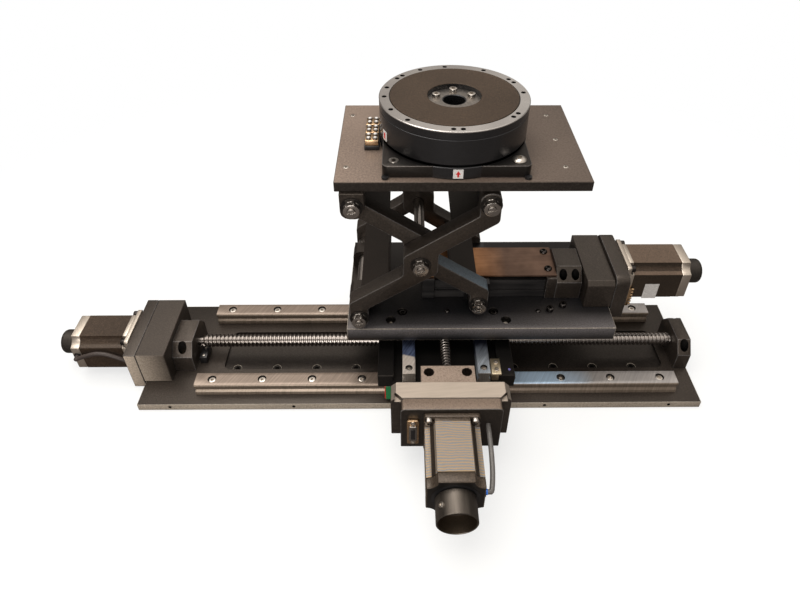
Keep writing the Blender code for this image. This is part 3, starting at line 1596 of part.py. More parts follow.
def lead(name, drive, route, look):
    """A tube along a smooth curve through a route's points, straight at both ends."""
    points = [Vector(route[0])]
    for index in range(1, len(route) - 2):
        before, start, end, after = [Vector(place) for place in route[index - 1 : index + 3]]
        for step in range(LEAD_STEPS):
            t = step / LEAD_STEPS
            linear = end - before
            square = 2 * before - 5 * start + 4 * end - after
            cubic = 3 * start - before - 3 * end + after
            points.append(start + (linear * t + square * t**2 + cubic * t**3) / 2)
    points += [Vector(route[-2]), Vector(route[-1])]
    curve = bpy.data.curves.new(name, "CURVE")
    curve.dimensions = "3D"
    curve.bevel_depth = LEAD / 2
    curve.bevel_resolution = 2
    curve.render_resolution_u = 0
    curve.use_fill_caps = True
    spline = curve.splines.new("POLY")
    spline.points.add(len(points) - 1)
    for point, place in zip(spline.points, points):
        point.co = (*place, 1.0)
    made = bpy.data.objects.new(name, curve)
    bpy.context.scene.collection.objects.link(made)
    made.parent = drive
    curve.materials.append(look)
    return made


# Lead routes from the motor's front face, in their drives' frames; the motor's side face is
# where each one ends
LEAD_END = MOTOR_SIZE / 2 + SEAT_GAP
X_LEAD_ROUTE = [
    (0.0, 0.0335, 0.0005),
    (0.006, 0.0335, 0.0005),
    (0.016, 0.0336, 0.0065),
    (0.029, 0.0338, 0.0130),
    (0.041, 0.0340, 0.0140),
    (0.053, 0.0342, 0.0105),
    (0.063, 0.0338, 0.0060),
    (0.067, LEAD_END + LEAD_TURN, 0.0045),
    (0.067, LEAD_END, 0.0045),
]
Y_LEAD_ROUTE = [
    (0.0, 0.0380, 0.0085),
    (0.007, 0.0380, 0.0085),
    (0.021, 0.0381, 0.0080),
    (0.036, 0.0380, 0.0060),
    (0.051, 0.0374, 0.0030),
    (0.063, 0.0360, 0.0005),
    (0.069, LEAD_END + LEAD_TURN, -0.0005),
    (0.069, LEAD_END, -0.0005),
]


def placed(route, start):
    return [(start + along, side, up) for along, side, up in route]


def main():
    clear_scene()
    stage = build_base()
    x_drive, x_motor_face = build_x_drive(stage)
    lead("x_motor_lead", x_drive, placed(X_LEAD_ROUTE, x_motor_face), lead_sleeve())
    carriage = build_x_carriage(stage)
    y_drive, y_motor_face = build_y_drive(carriage)
    lead("y_motor_lead", y_drive, placed(Y_LEAD_ROUTE, y_motor_face), lead_grey())
    table = build_y_carriage(carriage)
    build_z_drive(table)
    build_lower_pivot(table)
    a_frame, b_frame = build_arms(table)
    build_lower_slider(b_frame)
    build_upper_slider(a_frame)
    top, over = build_top(b_frame)
    build_rotary(top, over)
    solids = [item for item in bpy.data.objects if item.type != "EMPTY"]
    print("solids", len(solids), "arm length", round(2 * hypot(ARM_REACH, ARM_RISE), 4))


main()
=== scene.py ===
import json
import math

import bmesh
import bpy
from mathutils import Matrix, Vector


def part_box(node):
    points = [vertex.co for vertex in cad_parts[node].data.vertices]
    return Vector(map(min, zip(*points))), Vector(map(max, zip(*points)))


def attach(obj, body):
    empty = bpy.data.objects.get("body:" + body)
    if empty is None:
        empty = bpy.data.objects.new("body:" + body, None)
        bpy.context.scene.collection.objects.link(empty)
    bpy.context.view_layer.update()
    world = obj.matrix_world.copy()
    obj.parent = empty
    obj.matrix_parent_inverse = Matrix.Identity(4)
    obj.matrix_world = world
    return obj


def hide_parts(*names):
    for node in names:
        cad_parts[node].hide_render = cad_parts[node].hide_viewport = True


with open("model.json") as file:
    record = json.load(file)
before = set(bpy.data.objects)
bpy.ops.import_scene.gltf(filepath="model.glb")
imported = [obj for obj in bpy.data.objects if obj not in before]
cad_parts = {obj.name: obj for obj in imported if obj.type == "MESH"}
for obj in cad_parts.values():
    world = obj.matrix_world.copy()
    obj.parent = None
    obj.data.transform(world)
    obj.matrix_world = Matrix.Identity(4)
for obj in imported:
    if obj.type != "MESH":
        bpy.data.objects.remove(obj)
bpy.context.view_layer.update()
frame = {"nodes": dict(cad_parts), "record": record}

bodies = frame["record"]["behaviour"]["bodies"]
nodeBody = {node: body for body, nodes in bodies.items() for node in nodes}
nodeSlot = {entry["node"]: entry["material_slot"] for entry in frame["record"]["subparts"]}
print("frame loaded")

# Camera, floor and light

view = {
    "place": (-0.01782, -0.54433, 0.62466),
    "pitch": 38.605,
    "yaw": 0.692,
    "roll": 0.261,
    "lens": 28.07,
    "shift": (-0.01336, -0.0723),
}
studio = {
    "floorSeen": (0.95, 0.99, 1.0),
    "floorBounce": (0.13, 0.12, 0.115),
    "floorSize": 9.0,
    "floorDrop": 0.0002,
    "sky": (0.05, 1.0),
    "skyColour": (1.0, 0.92, 0.84),
    "lampColour": (1.0, 0.95, 0.90),
    "farFloor": (0.30, 0.90),
    "nearWhite": 0.64,
    "aim": (0, 0, 0.12),
}
lamps = {
    "keyLamp": {"place": (-0.45, 0.15, 1.9), "size": 2.0, "power": 30},
    "fillLamp": {"place": (-0.35, -1.7, 0.55), "size": 1.0, "power": 13},
}


def addToScene(made):
    bpy.context.scene.collection.objects.link(made)
    return made


# A shader node with its settings, whose inputs are set to numbers or linked from other nodes.
def addNode(tree, kind, inputs, **settings):
    made = tree.nodes.new("ShaderNode" + kind)
    for key, value in settings.items():
        setattr(made, key, value)
    for key, value in inputs.items():
        if isinstance(value, bpy.types.NodeSocket):
            tree.links.new(value, made.inputs[key])
        else:
            made.inputs[key].default_value = value
    return made


def seenByCamera(tree):
    return addNode(tree, "LightPath", {}).outputs["Is Camera Ray"]


def aimCamera():
    pitch, yaw, roll = [math.radians(view[key]) for key in ("pitch", "yaw", "roll")]
    ahead = Vector((math.sin(yaw) * math.cos(pitch), math.cos(yaw) * math.cos(pitch), -math.sin(pitch)))
    level = Vector((math.cos(yaw), -math.sin(yaw), 0))
    upward = level.cross(ahead)
    right = level * math.cos(roll) + upward * math.sin(roll)
    top = upward * math.cos(roll) - level * math.sin(roll)
    lens = bpy.data.cameras.new("photoCamera")
    lens.sensor_width = 36
    lens.sensor_fit = "HORIZONTAL"
    lens.lens = view["lens"]
    lens.shift_x, lens.shift_y = view["shift"]
    lens.clip_start = 0.01
    lens.clip_end = 50
    holder = addToScene(bpy.data.objects.new("photoCamera", lens))
    turn = Matrix((right, top, -ahead)).transposed().to_4x4()
    holder.matrix_world = Matrix.Translation(view["place"]) @ turn
    bpy.context.scene.camera = holder


def addLamp(name, lamp):
    light = bpy.data.lights.new(name, "AREA")
    light.shape = "DISK"
    light.size = lamp["size"]
    light.energy = lamp["power"]
    light.color = studio["lampColour"]
    holder = addToScene(bpy.data.objects.new(name, light))
    holder.location = lamp["place"]
    ahead = Vector(studio["aim"]) - Vector(lamp["place"])
    holder.rotation_euler = ahead.to_track_quat("-Z", "Y").to_euler()


# The sky lights the object from above, and the camera sees it as plain white.
def makeSky():
    world = bpy.data.worlds.new("studioSky")
    bpy.context.scene.world = world
    world.use_nodes = True
    tree = world.node_tree
    tree.nodes.clear()
    where = addNode(tree, "TexCoord", {}).outputs["Generated"]
    height = addNode(tree, "SeparateXYZ", {0: where}).outputs["Z"]
    low, high = studio["sky"]
    strength = addNode(tree, "MapRange", {"Value": height, "To Min": low, "To Max": high},
                       interpolation_type="SMOOTHSTEP")
    glow = addNode(tree, "Background", {"Color": (*studio["skyColour"], 1),
                                        "Strength": strength.outputs[0]})
    white = addNode(tree, "Background", {"Color": (1, 1, 1, 1)})
    mix = addNode(tree, "MixShader", {0: seenByCamera(tree), 1: glow.outputs[0], 2: white.outputs[0]})
    addNode(tree, "OutputWorld", {0: mix.outputs[0]})


def layFloor():
    half = studio["floorSize"] / 2
    builder = bmesh.new()
    corners = ((-half, -half), (half, -half), (half, half), (-half, half))
    builder.faces.new([builder.verts.new((x, y, -studio["floorDrop"])) for x, y in corners])
    mesh = bpy.data.meshes.new("floor")
    builder.to_mesh(mesh)
    builder.free()
    floor = addToScene(bpy.data.objects.new("floor", mesh))
    paint = bpy.data.materials.new("floorPaint")
    paint.use_nodes = True
    tree = paint.node_tree
    shader = tree.nodes["Principled BSDF"]
    colour = addNode(tree, "Mix", {"Factor": seenByCamera(tree), "A": (*studio["floorBounce"], 1),
                                   "B": (*studio["floorSeen"], 1)}, data_type="RGBA")
    tree.links.new(colour.outputs["Result"], shader.inputs["Base Color"])
    shader.inputs["Roughness"].default_value = 0.9
    shader.inputs["Specular IOR Level"].default_value = 0.1
    whitenFar(tree, shader)
    mesh.materials.append(paint)


# Far from the object the camera sees the floor as plain white.
def whitenFar(tree, shader):
    where = addNode(tree, "TexCoord", {}).outputs["Object"]
    away = addNode(tree, "VectorMath", {0: where}, operation="LENGTH").outputs["Value"]
    near, far = studio["farFloor"]
    fade = addNode(tree, "MapRange", {"Value": away, "From Min": near, "From Max": far,
                                      "To Min": studio["nearWhite"]})
    seen = addNode(tree, "Math", {0: fade.outputs[0], 1: seenByCamera(tree)}, operation="MULTIPLY")
    glow = addNode(tree, "Emission", {})
    mix = addNode(tree, "MixShader", {0: seen.outputs[0], 1: shader.outputs[0], 2: glow.outputs[0]})
    tree.links.new(mix.outputs[0], tree.nodes["Material Output"].inputs["Surface"])


bpy.context.scene.view_settings.view_transform = "Standard"
aimCamera()
makeSky()
for name, lamp in lamps.items():
    addLamp(name, lamp)
layFloor()
print("camera and studio set")

# Finishes

ways = {"up": (0, 0, 1), "front": (0, -1, 0), "rightAndUp": (0.5635, 0, 0.826),
        "frontAndUp": (0, -0.7071, 0.7071)}
blackTones = ((0.0042, 0.0035, 0.0030), (0.026, 0.0210, 0.0175))
anodisedMetals = {  # dark and light tones, then what differs from the usual black finish
    "black": {"tones": blackTones},
    # near black; on the walls of bores, holes and journals it is painted shade
    "deep": {"tones": ((0.002, 0.002, 0.0024), (0.006, 0.006, 0.006)), "index": 1.45},
    "pocket": {"tones": ((0.0040, 0.0035, 0.0032), (0.018, 0.0155, 0.0140)), "roughness": 0.30,
               "index": 1.45},
    "tieBrown": {"tones": ((0.0034, 0.0026, 0.0022), (0.014, 0.0105, 0.0085)), "roughness": 0.32,
                 "index": 1.5},
    # a lighter grey for bevels: a painted highlight where edges would catch the light
    "slate": {"tones": ((0.026, 0.025, 0.026), (0.085, 0.082, 0.082)), "roughness": 0.32},
    "disc": {"tones": ((0.016, 0.0100, 0.0062), (0.050, 0.034, 0.023)), "roughness": 0.40,
             "index": 1.42, "tint": (1, 0.84, 0.70, 1)},
    "drum": {"tones": ((0.003, 0.003, 0.0032), (0.010, 0.010, 0.0105)), "roughness": 0.24,
             "index": 1.65, "grain": 900, "tint": (0.92, 0.94, 1, 1)},
    "motorBlack": {"tones": ((0.014, 0.0085, 0.0055), (0.042, 0.028, 0.019)), "index": 1.42},
    "brownCap": {"tones": ((0.018, 0.0135, 0.0095), (0.058, 0.044, 0.033)), "roughness": 0.32,
                 "index": 1.5},
    "groove": {"tones": ((0.008, 0.006, 0.0045), (0.028, 0.021, 0.016)), "roughness": 0.32,
               "index": 1.45},
    "knobBlack": {"tones": ((0.005, 0.0045, 0.0045), (0.016, 0.015, 0.014)), "roughness": 0.42,
                  "index": 1.5},
    # a light tone for the plates' bevels and the bores' chamfered rims: a painted highlight
    "paleEdge": {"tones": ((0.18, 0.16, 0.135), (0.34, 0.31, 0.265)), "roughness": 0.38, "index": 1.5},
}
sheenMetals = {  # the same, with a painted sheen: faces that look one way are painted pale, as painted light
    # the Z motor's body: its up faces are painted light as painted top light
    "motorBrown": {"tones": ((0.010, 0.0072, 0.0054), (0.034, 0.025, 0.018)),
                   "pale": (0.130, 0.090, 0.064), "way": "up", "roughness": 0.36, "index": 1.45},
    # the base plate: its front faces are painted light taupe as a painted reflection of the floor
    "frontTaupe": {"tones": blackTones, "pale": (0.50, 0.435, 0.36), "way": "front",
                   "fade": ("X", 0.00, 1.30), "roughness": 0.38, "index": 1.5, "grain": 600},
    # the X motor's bracket and flange: front faces painted light at the left end only, a painted
    # reflection of the floor
    "leftTaupe": {"tones": blackTones, "pale": (0.62, 0.53, 0.435), "way": "front",
                  "fade": ("X", -0.352, -0.300)},
    # the front B arm: faces that look right and up are painted blue grey as a painted reflection, faded
    # out higher up where the top plate shades them
    "armBlue": {"tones": blackTones, "pale": (0.13, 0.18, 0.225), "way": "rightAndUp",
                "fade": ("Z", 0.180, 0.215)},
    # the Y motor bracket: its up faces are painted light as a painted sheen, streaked along the brushing
    # marks
    "bracketTop": {"tones": blackTones, "pale": (0.47, 0.405, 0.34), "way": "up", "roughness": 0.34,
                   "brush": (14, 170, 14)},
    # the Y motor flange: its up faces are painted light as painted top light
    "flangeTop": {"tones": ((0.0030, 0.0025, 0.0021), (0.016, 0.013, 0.0105)),
                  "pale": (0.21, 0.160, 0.125), "way": "up", "roughness": 0.34, "index": 1.5},
    # the Y bearing block: its up faces are painted light as painted top light
    "bearingTop": {"tones": blackTones, "pale": (0.44, 0.345, 0.28), "way": "up"},
    # the top plate: its up faces are painted light as painted top light, fading out towards +X
    "topBlack": {"tones": ((0.0030, 0.0026, 0.0024), (0.018, 0.0155, 0.014)),
                 "pale": (0.255, 0.195, 0.158), "way": "up", "fade": ("X", -0.10, 0.31),
                 "roughness": 0.40, "index": 1.5, "grain": 520},
    # the Z base plate: tones darker than the black finish as painted shade under the top plate, and faces
    # that look front and up painted light near the front edge as a painted highlight
    "plateBlack": {"tones": ((0.0018, 0.0021, 0.0029), (0.009, 0.0098, 0.0122)),
                   "pale": (0.195, 0.186, 0.195), "way": "frontAndUp", "fade": ("Y", -0.046, -0.018),
                   "index": 1.45, "grain": 600},
}
groundSteels = {  # tones at the axis' low end, those that follow from (place, span) on as painted reflection and painted shade, and the sides' as painted shade
    # the X rails: the blue band from 0.055 and the grey one from 0.18 are painted reflections
    "rail": {
        "axis": "X", "metallic": 0.55, "tones": ((0.185, 0.145, 0.117), (0.30, 0.243, 0.200)),
        "further": [((0.055, 0.020), ((0.40, 0.54, 0.70), (0.57, 0.75, 0.94))),
                    ((0.180, 0.045), ((0.30, 0.288, 0.282), (0.42, 0.40, 0.388)))],
        "side": ((0.17, 0.135, 0.105), (0.30, 0.245, 0.195)),
    },
    # the left Y rail: bright at its front end, then a blue painted reflection, then near black farther
    # back as painted shade under the Z plate
    "crossRail": {
        "axis": "Y", "metallic": 0.5, "tones": ((0.72, 0.64, 0.57), (0.98, 0.90, 0.82)),
        "further": [((-0.046, 0.003), ((0.05, 0.065, 0.13), (0.20, 0.27, 0.46))),
                    ((-0.035, 0.030), ((0.010, 0.012, 0.02), (0.04, 0.05, 0.09)))],
        "side": ((0.62, 0.55, 0.48), (0.82, 0.74, 0.66)),
    },
    # the right Y rail: blue grey at its front end as a painted reflection, then near black farther back
    # as painted shade under the Z plate
    "coldRail": {
        "axis": "Y", "metallic": 0.5, "tones": ((0.28, 0.32, 0.37), (0.62, 0.70, 0.78)),
        "further": [((-0.055, 0.030), ((0.010, 0.012, 0.02), (0.04, 0.05, 0.09)))],
        "side": ((0.40, 0.36, 0.33), (0.62, 0.57, 0.52)),
    },
}
brushedMetals = {  # tones, the marks' scale, roughness, metallic share and the clouds' size
    "cupBlack": (((0.036, 0.031, 0.027), (0.135, 0.118, 0.101)), (40, 5, 40), 0.34, 0.8, 20),
    "ring": (((0.48, 0.455, 0.44), (0.80, 0.78, 0.76)), (4, 4, 60), 0.20, 0.9, 8),
    "channel": (((0.020, 0.020, 0.022), (0.085, 0.082, 0.082)), (4, 60, 60), 0.36, 0.7, 20),
}
satinMetals = {  # colour, roughness, spread of tones and grain, then a darker colour at low X
    "screwSteel": ((0.47, 0.44, 0.42), 0.24, 0.14, 500, (0.20, 0.180, 0.165), (-0.25, 0.26)),
    "cupInside": ((0.17, 0.135, 0.100), 0.46, 0.10, 500),
    # the rail blocks' steel, kept near black as painted shade under the saddle
    "blockSteel": ((0.06, 0.06, 0.062), 0.32, 0.12, 500),
    "bolt": ((0.60, 0.56, 0.51), 0.28, 0.08, 900),
    "darkBolt": ((0.060, 0.055, 0.053), 0.26, 0.15, 900),
    "nut": ((0.40, 0.375, 0.35), 0.22, 0.15, 900),
    "recessFloor": ((0.34, 0.315, 0.29), 0.32, 0.25, 500),
    "castCap": ((0.60, 0.54, 0.47), 0.42, 0.06, 700),
    "gold": ((0.62, 0.43, 0.26), 0.26, 0.20, 300),
    "brass": ((0.86, 0.74, 0.53), 0.40, 0.08, 300),
}
plastics = {
    "sleeve": ((0.045, 0.034, 0.030), 0.5),
    "greySleeve": ((0.13, 0.125, 0.12), 0.36),
    "green": ((0.02, 0.22, 0.075), 0.4),
    "red": ((0.66, 0.02, 0.02), 0.4),
    "blue": ((0.01, 0.17, 0.75), 0.4),
    "violet": ((0.20, 0.19, 0.50), 0.3),
    "blackPlastic": ((0.008, 0.008, 0.009), 0.4),
    "label": ((0.58, 0.57, 0.56), 0.5),
    "sticker": ((0.80, 0.79, 0.78), 0.5),
}
sheets = {"pitch": 0.00085, "grey": (0.31, 0.33, 0.36), "tan": (0.56, 0.40, 0.23),
          "dark": (0.03, 0.025, 0.02)}
# the bright tones are a painted highlight at the cover's left end, fading to the dim tones along X
copper = {"base": (0.2, 0.1, 0.06), "worn": ((0.085, 0.050, 0.036), (0.21, 0.13, 0.092)),
          "bright": ((0.30, 0.13, 0.05), (0.68, 0.33, 0.14)), "fade": ("X", 0.055, 0.105)}
slotPaints = {
    "black_anodised": "black",
    "brushed_steel": "rail",
    "screw_steel": "screwSteel",
    "motor_body": "motorBlack",
    "block_steel": "blockSteel",
    "copper_sheet": "copper",
    "gold_contacts": "gold",
    "lead_sleeve": "sleeve",
    "lead_grey": "greySleeve",
}
nodePaints = {  # nodes whose finish isn't their slot's usual one
    "z_guide_rail": "channel",
    "saddle_plate": "deep",
    # these five finishes carry painted light: a painted reflection, painted sheens on upward faces, and
    # painted shade on the Z base plate
    "x_motor_bracket": "leftTaupe",
    "y_motor_bracket": "bracketTop",
    "y_bearing_block": "bearingTop",
    "top_plate": "topBlack",
    "z_base_plate": "plateBlack",
    "arm_a_lower_tie": "tieBrown",
    "arm_a_upper_tie": "tieBrown",
    "arm_b_lower_tie": "tieBrown",
    "arm_b_upper_tie": "tieBrown",
    "lower_pivot_bracket": "tieBrown",
}
paints = {}


def scaled(colour, share):
    return [channel * share for channel in colour]


def finish(name, colour, roughness, metallic=0.0):
    paint = bpy.data.materials.new(name)
    paint.use_nodes = True
    shader = paint.node_tree.nodes["Principled BSDF"]
    shader.inputs["Base Color"].default_value = (*colour, 1)
    shader.inputs["Roughness"].default_value = roughness
    shader.inputs["Metallic"].default_value = metallic
    paint.diffuse_color = (*colour, 1)
    paints[name] = paint
    return paint.node_tree, shader


def setColour(tree, shader, colour):
    tree.links.new(colour, shader.inputs["Base Color"])


# Object coordinates that are turned about Z first and then stretched.
def objectCoordinates(tree, scale=(1, 1, 1), turn=0):
    where = addNode(tree, "TexCoord", {}).outputs["Object"]
    return addNode(tree, "Mapping", {"Vector": where, "Scale": [1 / size for size in scale],
                                     "Rotation": (0, 0, math.radians(turn))},
                   vector_type="TEXTURE").outputs["Vector"]


def noise(tree, size, detail=2.0, roughness=0.5, scale=(1, 1, 1), turn=0):
    return addNode(tree, "TexNoise", {"Scale": size, "Detail": detail, "Roughness": roughness,
                                      "Vector": objectCoordinates(tree, scale, turn)}).outputs["Fac"]


def ramp(tree, value, *stops):
    made = addNode(tree, "ValToRGB", {"Fac": value})
    bar = made.color_ramp
    while len(bar.elements) < len(stops):
        bar.elements.new(0.5)
    for element, (place, colour) in zip(bar.elements, stops):
        element.position = place
        element.color = (*colour, 1)
    return made.outputs["Color"]


# first + second * weight
def weighted(tree, first, second, weight):
    return addNode(tree, "Math", {0: second, 1: weight, 2: first}, operation="MULTIPLY_ADD").outputs[0]


def times(tree, first, second):
    return addNode(tree, "Math", {0: first, 1: second}, operation="MULTIPLY").outputs[0]


def remap(tree, value, low, high, fromLow=0.0, fromHigh=1.0):
    return addNode(tree, "MapRange", {"Value": value, "From Min": fromLow, "From Max": fromHigh,
                                      "To Min": low, "To Max": high}).outputs[0]


# The place along an axis, in metres.
def alongAxis(tree, axis):
    where = addNode(tree, "TexCoord", {}).outputs["Object"]
    return addNode(tree, "SeparateXYZ", {0: where}).outputs[axis]


# How much a surface looks a way, from 0 at a cosine of start to 1 at end.
def facingShare(tree, way, start, end):
    normal = addNode(tree, "TexCoord", {}).outputs["Normal"]
    cosine = addNode(tree, "VectorMath", {0: normal, 1: ways[way]}, operation="DOT_PRODUCT")
    return remap(tree, cosine.outputs["Value"], 0, 1, start, end)


def blend(tree, factor, first, second):
    return addNode(tree, "Mix", {"Factor": factor, "A": first, "B": second},
                   data_type="RGBA").outputs["Result"]


def bump(tree, shader, height, strength, distance):
    made = addNode(tree, "Bump", {"Strength": strength, "Distance": distance, "Height": height})
    tree.links.new(made.outputs["Normal"], shader.inputs["Normal"])


# Blasted and anodised aluminium: little of its own colour, fine speckle and a warm satin sheen.
def anodised(name, tones, roughness=0.34, index=1.6, grain=700, tint=(1, 0.88, 0.78, 1)):
    dark, light = tones
    tree, shader = finish(name, dark, roughness)
    shader.inputs["IOR"].default_value = index
    shader.inputs["Specular Tint"].default_value = tint
    speckle = noise(tree, grain, 4, 0.75)
    cloud = noise(tree, 9)
    mixed = weighted(tree, speckle, cloud, 0.30)
    black = ramp(tree, mixed, (0.50, dark), (0.72, light), (0.84, scaled(light, 1.9)))
    setColour(tree, shader, black)
    tree.links.new(remap(tree, cloud, roughness - 0.06, roughness + 0.08), shader.inputs["Roughness"])
    bump(tree, shader, speckle, 0.35, 0.0003)
    return tree, shader, mixed, black


# Anodised metal with a painted sheen: faces that look one way are painted pale; the painted sheen may
# fade out along an axis.
def sheened(name, tones, pale, way, fade=None, roughness=0.42, brush=None, index=1.6, grain=700):
    tree, shader, mixed, black = anodised(name, tones, roughness, index, grain)
    if brush:
        mixed = weighted(tree, noise(tree, 2.2, 4, 0.6, brush, 7), noise(tree, 30), 0.60)
        bright = ramp(tree, mixed, (0.50, scaled(pale, 0.84)), (0.98, pale))
    else:
        bright = ramp(tree, mixed, (0.50, scaled(pale, 0.52)), (0.74, pale))
    # the painted sheen's share: how much a face looks the given way
    share = facingShare(tree, way, 0.6, 0.9)
    if fade:
        axis, start, end = fade
        share = times(tree, remap(tree, alongAxis(tree, axis), 1, 0, start, end), share)
    setColour(tree, shader, blend(tree, share, black, bright))


# Ground or brushed metal: streaks across the scale's long side, with slow clouds.
def brushedMetal(name, tones, scale, roughness=0.30, metallic=1.0, cloudSize=14, turn=0):
    tree, shader = finish(name, tones[1], roughness, metallic)
    marks = noise(tree, 2.2, 4, 0.6, scale, turn)
    mixed = weighted(tree, marks, noise(tree, cloudSize), 0.45)
    colour = ramp(tree, mixed, (0.50, tones[0]), (0.95, tones[1]))
    setColour(tree, shader, colour)
    tree.links.new(remap(tree, marks, roughness - 0.06, roughness + 0.10), shader.inputs["Roughness"])
    bump(tree, shader, marks, 0.10, 0.0002)
    return tree, shader, mixed, colour


# Ground steel with fine slanting marks; its tone changes at places along an axis as painted reflection
# and painted shade, and on its sides as painted shade.
def groundSteel(name, axis, metallic, tones, further, side):
    tree, shader, mixed, colour = brushedMetal(name, tones, (330, 12, 12), metallic=metallic, turn=-30)
    wander = weighted(tree, alongAxis(tree, axis), noise(tree, 30), 0.03)
    # painted reflection and painted shade, in bands along the axis
    for (place, span), (dark, light) in further:
        fade = remap(tree, wander, 0, 1, place, place + span)
        colour = blend(tree, fade, colour, ramp(tree, mixed, (0.50, dark), (0.95, light)))
    # the front-facing sides take their own tones as painted shade
    sides = ramp(tree, mixed, (0.50, side[0]), (0.95, side[1]))
    setColour(tree, shader, blend(tree, facingShare(tree, "front", 0.5, 0.8), colour, sides))


# Fine grained metal; it may fade to a darker colour towards the X motor.
def satinMetal(name, colour, roughness, spread, grain, dull=None, span=None):
    tree, shader = finish(name, colour, roughness, 1.0)
    fine = noise(tree, grain, 3, 0.6)
    shades = [ramp(tree, fine, (0.3, scaled(tone, 1 - spread)), (0.7, scaled(tone, 1 + spread)))
              for tone in (dull, colour) if tone]
    if dull:
        shades = [blend(tree, remap(tree, alongAxis(tree, "X"), 0, 1, *span), *shades)]
    setColour(tree, shader, shades[0])
    bump(tree, shader, fine, 0.10, 0.0002)


def plainPlastic(name, colour, roughness):
    tree, shader = finish(name, colour, roughness)
    fine = noise(tree, 700)
    setColour(tree, shader, ramp(tree, fine, (0.35, scaled(colour, 0.85)), (0.7, scaled(colour, 1.12))))
    bump(tree, shader, fine, 0.05, 0.0001)


# A value that rises from 0 to a height and falls back, over and over along an axis.
def wave(tree, along, height):
    return addNode(tree, "Math", {0: along, 1: height}, operation="PINGPONG").outputs[0]


# A motor's stack of thin sheets: fine lines square to its shaft, in slow tan and grey bands.
def stackedSheets(name, axis):
    pitch, grey, tan, dark = [sheets[key] for key in ("pitch", "grey", "tan", "dark")]
    tree, shader = finish(name, grey, 0.42, 0.35)
    along = alongAxis(tree, axis)
    edge = remap(tree, wave(tree, along, pitch / 2), 0, 1, 0, pitch / 2)
    warp = weighted(tree, along, noise(tree, 60, 3), 0.006)
    slow = remap(tree, wave(tree, warp, pitch * 1.7), 0, 1, pitch * 0.5, pitch * 1.2)
    setColour(tree, shader, blend(tree, slow, ramp(tree, edge, (0.1, dark), (0.7, grey)),
                                  ramp(tree, edge, (0.1, dark), (0.7, tan))))
    bump(tree, shader, edge, 0.5, 0.0002)


# Browned sheet with clouds and long scratches, and a painted highlight that makes it brighter towards its
# left end.
def copperCover(name):
    tree, shader = finish(name, copper["base"], 0.34, 0.75)
    scratch = noise(tree, 2.0, 3, 0.6, (3, 160, 40), 4)
    mixed = weighted(tree, noise(tree, 26, 3, 0.6), scratch, 0.30)
    bright, worn = [ramp(tree, mixed, (0.45, copper[key][0]), (0.85, copper[key][1]))
                    for key in ("bright", "worn")]
    # painted highlight: bright at the left end, fading to the dim tones
    axis, start, end = copper["fade"]
    fade = remap(tree, alongAxis(tree, axis), 0, 1, start, end)
    setColour(tree, shader, blend(tree, fade, bright, worn))
    bump(tree, shader, scratch, 0.12, 0.0002)


# Gives each CAD node the finish of its slot, or its own.
def dressNodes():
    for name, node in frame["nodes"].items():
        paint = paints[nodePaints.get(name, slotPaints[nodeSlot[name]])]
        for slot in node.material_slots:
            slot.material = paint


for maker, group in ((anodised, anodisedMetals), (sheened, sheenMetals), (groundSteel, groundSteels)):
    for name, settings in group.items():
        maker(name, **settings)
for maker, group in ((brushedMetal, brushedMetals), (satinMetal, satinMetals), (plainPlastic, plastics)):
    for name, settings in group.items():
        maker(name, *settings)
stackedSheets("sheets", "Y")
copperCover("copper")
dressNodes()
print("finishes made")

# Shapes

axes = {
    "X": lambda along, u, v: (along, u, v),
    "Y": lambda along, u, v: (u, along, v),
    "Z": lambda along, u, v: (u, v, along),
}
drives = {
    "X": Matrix.Translation((0, 0, 0.031)) @ Matrix.Rotation(math.pi, 4, "Z"),
    "Y": Matrix.Translation((0.0295, 0, 0.0683)) @ Matrix.Rotation(-math.pi / 2, 4, "Z"),
    "Z": Matrix.Translation((0.0295, 0.035, 0.1158)),
}
sunk = 0.0001  # how far a screw's head is let into its seat


# A node's box as its drive sees it: the low corner and the high one.
def localBox(node, drive):
    back = drives[drive].inverted()
    places = [back @ Vector(corner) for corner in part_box(node)]
    return [[pick(place[number] for place in places) for number in range(3)] for pick in (min, max)]


# How far a node reaches along its drive.
def localSpan(node, drive):
    low, high = localBox(node, drive)
    return low[0], high[0]


def boxMiddle(node):
    return [(low + high) / 2 for low, high in zip(*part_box(node))]


def rectangle(width, height, middle=(0, 0)):
    corners = ((-1, -1), (1, -1), (1, 1), (-1, 1))
    return [(middle[0] + u * width / 2, middle[1] + v * height / 2) for u, v in corners]


# The rectangle between two corners.
def spanned(low, high):
    return [(low[0], low[1]), (high[0], low[1]), (high[0], high[1]), (low[0], high[1])]


# A polygon with an arc in place of each corner.
def rounded(points, radii, steps=10):
    outline = []
    for index, place in enumerate(points):
        corner = Vector(place)
        before = (Vector(points[index - 1]) - corner).normalized()
        after = (Vector(points[(index + 1) % len(points)]) - corner).normalized()
        radius = radii[index] if isinstance(radii, list) else radii
        if radius == 0:
            outline.append(tuple(corner))
            continue
        half = before.angle(after) / 2
        centre = corner + (before + after).normalized() * (radius / math.sin(half))
        start, end = [corner + way * (radius / math.tan(half)) - centre for way in (before, after)]
        first = math.atan2(start.y, start.x)
        sweep = (math.atan2(end.y, end.x) - first + math.pi) % (2 * math.pi) - math.pi
        for step in range(steps + 1):
            angle = first + sweep * step / steps
            outline.append((centre.x + radius * math.cos(angle), centre.y + radius * math.sin(angle)))
    return outline


